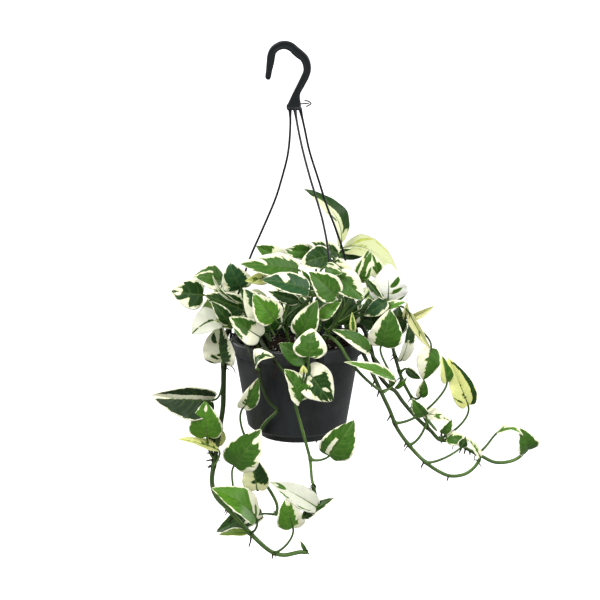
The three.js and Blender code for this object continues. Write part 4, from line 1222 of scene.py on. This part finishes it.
# %% Shoots to the left, and the tall one
VINES += [
    ("shoot_front", 1.8, [(299, 351, -46), (298, 341, -54), (297, 333, -60)],
     [(2, 299, 335, -82, 317, 300, -86, 29, 0, 10, 0.1, look("mid", 0.78, 0.9)),
      (1.7, 326, 267, -72, 343, 273, -76, 16, 0, 12, 0.1,
       look("mid", 0.9, 0.9, stripes=((-0.4, 2, 0.1, 0.9, -1),))),
      (1.5, 310, 286, -66, 301, 269, -70, 12, 0, 10, 0.1, look("mid", 0.5, 0.9))]),
    ("shoot_left", 1.8, [(272, 344, 8), (262, 331, 6), (252, 319, 2)],
     [(2, 203, 295, -14, 171, 291, -20, 36, 10, 10, 0.1,
       look("dark", 0.85, 0.8, tip=0.97, patches=((0.8, 0.35, 3.6, -1), (0.82, -0.25, 3, -1),
                                                  (0.62, -0.7, 4, -1)))),
      (1.8, 222, 281, -2, 193, 277, -8, 30, 32, 8, 0.2,
       look("mid", 0.9, 0.9, stripes=((0.45, 1.5, 0.4, 0.95, -1), (-0.8, 3, 0.1, 0.9, -1)))),
      (1.6, 240, 318, -12, 226, 299, -16, 17, 0, 10, 0.1, look("olive", 0.3, 0.5, cream=YELLOW))]),
    ("shoot_left_front", 1.8, [(258, 348, -23), (254, 337, -27), (249, 327, -31)],
     [(2, 243, 311, -34, 204, 295, -44, 28, 25, 10, 0.1, look("dark")),
      (1.7, 240, 303, -48, 212, 275, -54, 12, -55, 14, 0.12, look("mid", 0.5, 0.9)),
      (2, 219, 320, -34, 192, 334, -44, 38, 48, 14, 0.16,
       look("dark", -0.2, -0.2, cream=CREAM_WITH_PAINTED_SHADE, stripes=((0.04, 2.4, 0.0, 1.0, 1),))),
      (2, 229, 323, -50, 211, 301, -56, 17, 20, 12, 0.1, look("dark")),
      (1.6, 241, 288, -20, 230, 263, -24, 36, -10, 12, 0.12, look("blue", 0.8, 0.8)),
      (1.5, 266, 318, -50, 244, 289, -54, 32, 8, 10, 0.1, look("blue", 0.4, 0.85, start=0.35)),
      (1.4, 234, 326, -38, 214, 320, -40, 10, 0, 10, 0.1, look("olive"))]),
    ("shoot_tall", 1.9, [(322, 341, 36), (330, 324, 46), (333, 306, 54)],
     [(2, 341, 243, 62, 304, 189, 60, 32, 50, 14, 0.23,
       look("dark", -0.2, -0.2, cream="E4E9BC", patches=((0.45, -0.45, 3.5, 1),),
            stripes=((0.85, 19, 0.14, 1.05, 1),))),
      (1.7, 343, 248, 76, 398, 272, 42, 36, -50, 10, 0.22,
       # This leaf's cream is greyed with painted shade, so that its pale edge shows against the
       # white.
       look("lime", -0.2, -0.2, cream="CCD1A0", patches=((0.3, -0.5, 5.5, 1),),
            stripes=((-0.12, 2, 0.02, 0.55, 1), (0.3, 1.5, 0.05, 0.5, 1),
                     (-0.85, 1.5, 0.5, 0.9, 1)))),
      (1.5, 362, 253, 62, 328, 253, 58, 15, 0, 10, 0.1, look("dark", 0.97, 0.97))]),
    ("shoot_right_new", 1.8, [(334, 344, 14), (350, 324, 8), (366, 309, 4)],
     [(2, 412, 317, -12, 434, 306, -14, 14, 0, 50, 0.08, look("olive", 0.2, 0.1, cream=STRAW)),
      (2, 410, 314, -14, 431, 349, -28, 14, 20, 30, 0.06, look("olive", 0.3, 0.3, cream=STRAW)),
      (2, 431, 348, -20, 423, 380, -18, 28, 0, 10, 0.1, look("mid", 0.95, 0.2)),
      (1.8, 405, 319, -8, 407, 302, -8, 9, 0, 30, 0.1, look("olive", 0.2, 0.2, cream=STRAW)),
      (0.8, 345, 325, 12, 349, 292, 18, 32, 0, 10, 0.1, look("dark", 0.9, 0.9))]),
]
print("stems and shoots in front:", len(VINES))

# %% [markdown]
# Nothing shows of the far side in a front view, so its four stems follow a
# rule: up from the soil, over the rim, down, with leaves to either side.

# %% Vines round the back
BACK_STEM = 2.2
BACK = [  # name, turn round the pot in degrees, how far it hangs in mm, its leaves
    ("vine_back_1", 36, 36, 4), ("vine_back_2", 76, 150, 7),
    ("vine_back_3", 140, 30, 4), ("vine_back_4", 108, 120, 6)]


def back_vine(name, turn, hang, count, number):
    """A stem over the rim at one turn, with leaves by turns to either side.

    Each leaf's base and tip lie out, aside and up from its place on the stem,
    by lengths that steady draws vary.
    """
    a = np.radians(turn)
    out = np.array([np.cos(a), np.sin(a), 0.0])
    aside = np.array([-out[1], out[0], 0.0])
    up = np.array([0.0, 0.0, 1.0])

    def at(r, s, z):
        """A point by its way out from the pot's axis, aside, and over the rim."""
        return np.array([POT_X, 0, RIM_Z + z]) + out * r + aside * s

    points = [at(40, 0, SOIL_TOP), at(52, 0, 14), at(70, 1, 17), at(85, 2, 2)]
    for i in range(1, hang // 30 + 1):
        points.append(at(89 + 3 * np.sin(i), 3 * np.sin(2.1 * i), 2 - 30 * i))
    leaves = []
    for i in range(count):
        hand = 1 if i % 2 == 0 else -1
        place = 1 + ((len(points) - 2) * (i + 0.5)) / count
        whole = int(place)
        start = points[whole] + (points[whole + 1] - points[whole]) * (place - whole)
        base = (start + out * (14 + 8 * draw(number, i))
                + aside * hand * (9 + 5 * draw(i, number)) + up * (14 + 10 * draw(number + 3, i)))
        tip = (base + out * (14 + 14 * draw(number + 5, i))
               + aside * hand * (17 + 8 * draw(number + 7, i))
               + up * (26 - 44 * draw(number + 9, i)))
        kind = ["mid", "dark", "light", "blue"][(i + number) % 4]
        reach = 0.35 + 0.6 * np.array([draw(i, number + 21), draw(i, number + 23)])
        leaves.append(dict(
            place=place, base=base, tip=tip, toward=out,
            width=26 + 10 * draw(number + 11, i), roll=50 * draw(number + 13, i) - 25,
            fold=10, bow=0.14, look=look(kind, *reach)))
    return name, BACK_STEM, points, leaves


def front_vine(name, stem, path, rows):
    """A stem and its leaves from the rows above; every leaf faces the front."""
    leaves = []
    for place, bu, bv, bd, tu, tv, td, width, roll, fold, bow, pattern in rows:
        base, tip = seen([(bu, bv, bd), (tu, tv, td)])
        leaves.append(dict(
            place=place, base=base, tip=tip, toward=np.array([0, -1.0, 0]),
            width=width, roll=roll, fold=fold, bow=bow, look=pattern))
    return name, stem, list(seen(path)), leaves


PLANTS = [front_vine(*vine) for vine in VINES]
PLANTS += [back_vine(*row, number=i + 1) for i, row in enumerate(BACK)]
print("leaves:", sum(len(plant[3]) for plant in PLANTS))

# %% [markdown]
# Aerial roots break out at the joints of a stem, where a leaf stood or stands.
# They are a few millimetres long and dry, so each is a tapered rod of six
# sides, which is enough at that size.

# %% Roots
ROOT_SIDES = 6


def put_root(parts, places, thick):
    """A tapered rod through places of the front view, its end half as thick."""
    path, t = even_spline(seen(places), 0.8)
    radius = thick * (1 - 0.5 * t)
    sweep(parts, path, np.array([0.3, 0.9, 0.2]), radius, radius, ROOT_SIDES)


def add_roots(parts, joint, along, stem, seed):
    """Two or three short tapered nubs at a joint, square to the stem and bent
    down, from 2 to 6 mm long."""
    aside = unit(np.cross(along, [0.3, -1.0, 0.2]))
    other = np.cross(along, aside)
    for k in range(2 + int(draw(seed, 31) > 0.5)):
        a = TURN * draw(seed, 40 + k)
        out = aside * np.cos(a) + other * np.sin(a)
        size = 2 + 4 * draw(seed, 50 + k)
        q = np.linspace(0, 1, 7)[:, None]
        start = joint + along * (2 * k - 2) + out * (stem * 0.6)
        path = start + out * size * q + np.array([0, 0, -0.5]) * size * q ** 2
        radius = 0.85 * (1.05 - 0.6 * q[:, 0])
        sweep(parts, path, unit(along), radius, radius, ROOT_SIDES)


# %% [markdown]
# Each stem is a round rod that swells a little at its joints, one at each
# leaf. The leaves of a stem make one piece and its stem and petioles another,
# and both stand for the one node.

# %% Grow the plants
ROOT_DEPTH = 20.0  # mm that a stem goes down into the soil
STEM_STEP, STEM_SIDES = 1.6, 12
JOINT_LONG = 2.5  # mm, half the length of the swelling at a joint
LAST_JOINT = 0.985  # the farthest place on a stem that a leaf leaves it at
ROOTED = ("vine_long_left", "vine_front", "vine_front_left", "vine_right_low",
          "vine_right_middle", "vine_right_back", "vine_back_2", "vine_back_4")


def grow(plant, number, roots):
    """One plant's stem, petioles and blades. Its radius is thinner by a quarter
    at the tip, and thicker by a Gaussian bump at each joint."""
    name, stem, points, leaves = plant
    points = [points[0] - np.array([0, 0, ROOT_DEPTH]), *points]
    path, t = even_spline(points, STEM_STEP)
    last = len(points) - 1
    joints = np.array([(leaf["place"] + 1) / last for leaf in leaves])
    run = np.linalg.norm(np.diff(path, axis=0), axis=1).sum()
    near = np.exp(-((t[:, None] - joints) * run / JOINT_LONG) ** 2).max(axis=1)
    radius = stem * (0.94 + 0.22 * near) * (1 - 0.25 * t)
    radius[-3:] *= np.array([0.9, 0.7, 0.35])
    blades, stems = Parts(), Parts()
    # A vine is old at its foot and fresh at its tip, and a shoot is all of an age.
    vine = len(leaves) > 3 and last > 6
    old = np.clip(1.35 - 1.45 * t, 0.05, 0.95) if vine else 0.35 + 0 * t
    put_rod(stems, path, np.array([0.8, 0.6, 0.0]), radius, STEM_SIDES, number, old)
    for i, leaf in enumerate(leaves):
        leaf["seed"] = 20 * number + i
        spot = (leaf["place"] + 1) / last
        ends = [spot, min(spot + 0.01, 1.0)] if spot <= LAST_JOINT else [LAST_JOINT, 1.0]
        root, beyond = spline(points, np.array(ends))
        along = unit(beyond - root + 1e-9)
        add_blade(blades, leaf)
        add_petiole(stems, leaf, root, along)
        if name in ROOTED:
            add_roots(roots, root, along, stem, leaf["seed"])
    make_piece(name + ".leaves", blades, BLADE, "variegated_foliage", name)
    make_piece(name + ".stems", stems, STEM, "variegated_foliage", name)


# %% [markdown]
# Some roots stand out clearly against the white: nubs at the joints, one long
# thin one beside the pot, and a curled one over its front. Each nub is given
# by its two ends in the front view and its depth. They are gathered with the
# nubs that growing adds, and make one piece.

# %% Aerial roots
NUB_R, LONG_ROOT_R = 1.4, 0.9  # mm
NUBS = [
    (214, 455, 207, 453, -8), (214, 460, 206, 461, -9), (213, 465, 208, 468, -9),
    (231, 512, 225, 510, -24), (234, 516, 229, 522, -25), (251, 535, 249, 547, -30),
    (272, 552, 272, 559, -26), (375, 380, 371, 387, -42), (379, 388, 377, 397, -42),
    (391, 414, 387, 421, -40), (412, 403, 410, 410, -4), (406, 441, 404, 447, -40),
    (424, 461, 421, 467, -39), (448, 474, 447, 481, -37), (462, 446, 459, 453, -25),
    (465, 447, 464, 454, -25), (468, 449, 470, 455, -25), (444, 437, 446, 430, -27)]
LONG_ROOTS = [
    [(225, 364.5, -8), (230, 365.5, -11), (233.5, 368.5, -14), (235.5, 373.5, -16)],
    [(272, 358, -80), (275, 364, -86), (276.5, 371, -88), (274, 378, -87), (272, 373, -88)]]
ROOTS = Parts()
for u0, v0, u1, v1, depth in NUBS:
    bend = ((u0 + u1) / 2 + 0.6, (v0 + v1) / 2 - 0.5, depth - 1)
    put_root(ROOTS, [(u0, v0, depth), bend, (u1, v1, depth - 2)], NUB_R)
for places in LONG_ROOTS:
    put_root(ROOTS, places, LONG_ROOT_R)
for number, plant in enumerate(PLANTS):
    grow(plant, number, ROOTS)
make_piece("aerial_roots", ROOTS, ROOT, "variegated_foliage")

# %% [markdown]
# The plant hangs in a white studio. A pale bowl, far wider than the pot, is its
# floor and its wall all round, so every side is seen against white. The bowl
# shows to the camera alone, and sheds no light. A large soft light from the
# upper left shapes the leaves, a weaker one fills from the right, and two
# behind draw a soft edge on the black plastic.

# %% Studio
BOWL_R, FLOOR_Z, WALL_TOP, BEND = 7.0, -1.5, 6.0, 2.0  # m
BOWL_TURNS = 96
AIM = (0, 0, -0.35)  # m, the middle of the plant
LIGHTS = [  # name, place in m, width in m, watts
    ("key", (-1.4, -2.0, 1.9), 1.5, 92),
    ("fill", (2.0, -1.8, 0.8), 1.6, 50),
    ("left_rim", (-1.7, 1.3, 0.2), 1.2, 22),
    ("right_rim", (1.7, 1.3, 0.2), 1.2, 22)]
SKY = 0.42


def studio_white():
    """White that gives its own light, so it is even from every side."""
    material, tree, shader = new_material("painted_backdrop")
    set_inputs(tree, shader, {
        "Base Color": colour("FFFFFF"), "Roughness": 1.0, "Specular IOR Level": 0.0,
        "Emission Color": (1, 1, 1, 1), "Emission Strength": 1.0})
    return material


def make_floor():
    """A flat floor, a quarter circle and an upright wall, turned about Z."""
    a = np.linspace(0, np.pi / 2, 16)
    r = np.concatenate([[0.01], BOWL_R - BEND + BEND * np.sin(a), [BOWL_R]])
    z = np.concatenate([[FLOOR_Z], FLOOR_Z + BEND * (1 - np.cos(a)), [WALL_TOP]])
    turn = 2 * np.pi * np.arange(BOWL_TURNS) / BOWL_TURNS
    points = np.stack([r[:, None] * np.cos(turn), r[:, None] * np.sin(turn),
                       z[:, None] + 0 * turn], axis=-1).reshape(-1, 3)
    faces = grid_faces(len(r), BOWL_TURNS, True).tolist() + [list(range(BOWL_TURNS))]
    mesh = bpy.data.meshes.new("floor")
    mesh.from_pydata(points.tolist(), [], faces)
    mesh.materials.append(studio_white())
    floor = bpy.data.objects.new("floor", mesh)
    for ray in ("diffuse", "glossy", "transmission", "shadow"):
        setattr(floor, "visible_" + ray, False)
    bpy.context.scene.collection.objects.link(floor)


def soft_light(name, place, size, watts):
    """A square light that faces the middle of the plant."""
    data = bpy.data.lights.new(name, "AREA")
    data.shape = "SQUARE"
    data.size = size
    data.energy = watts
    light = bpy.data.objects.new(name, data)
    light.location = Vector(place)
    light.rotation_euler = (Vector(AIM) - Vector(place)).to_track_quat("-Z", "Y").to_euler()
    bpy.context.scene.collection.objects.link(light)


def make_studio():
    """The bowl, the four lights, an even sky and plain colours."""
    make_floor()
    for light in LIGHTS:
        soft_light(*light)
    world = bpy.data.worlds.new("studio")
    world.use_nodes = True
    sky = next(n for n in world.node_tree.nodes if n.type == "BACKGROUND")
    set_inputs(world.node_tree, sky, {0: (1, 1, 1, 1), 1: SKY})
    bpy.context.scene.world = world
    bpy.context.scene.view_settings.view_transform = "Standard"
    print("lights:", ", ".join(light[0] for light in LIGHTS))


make_studio()
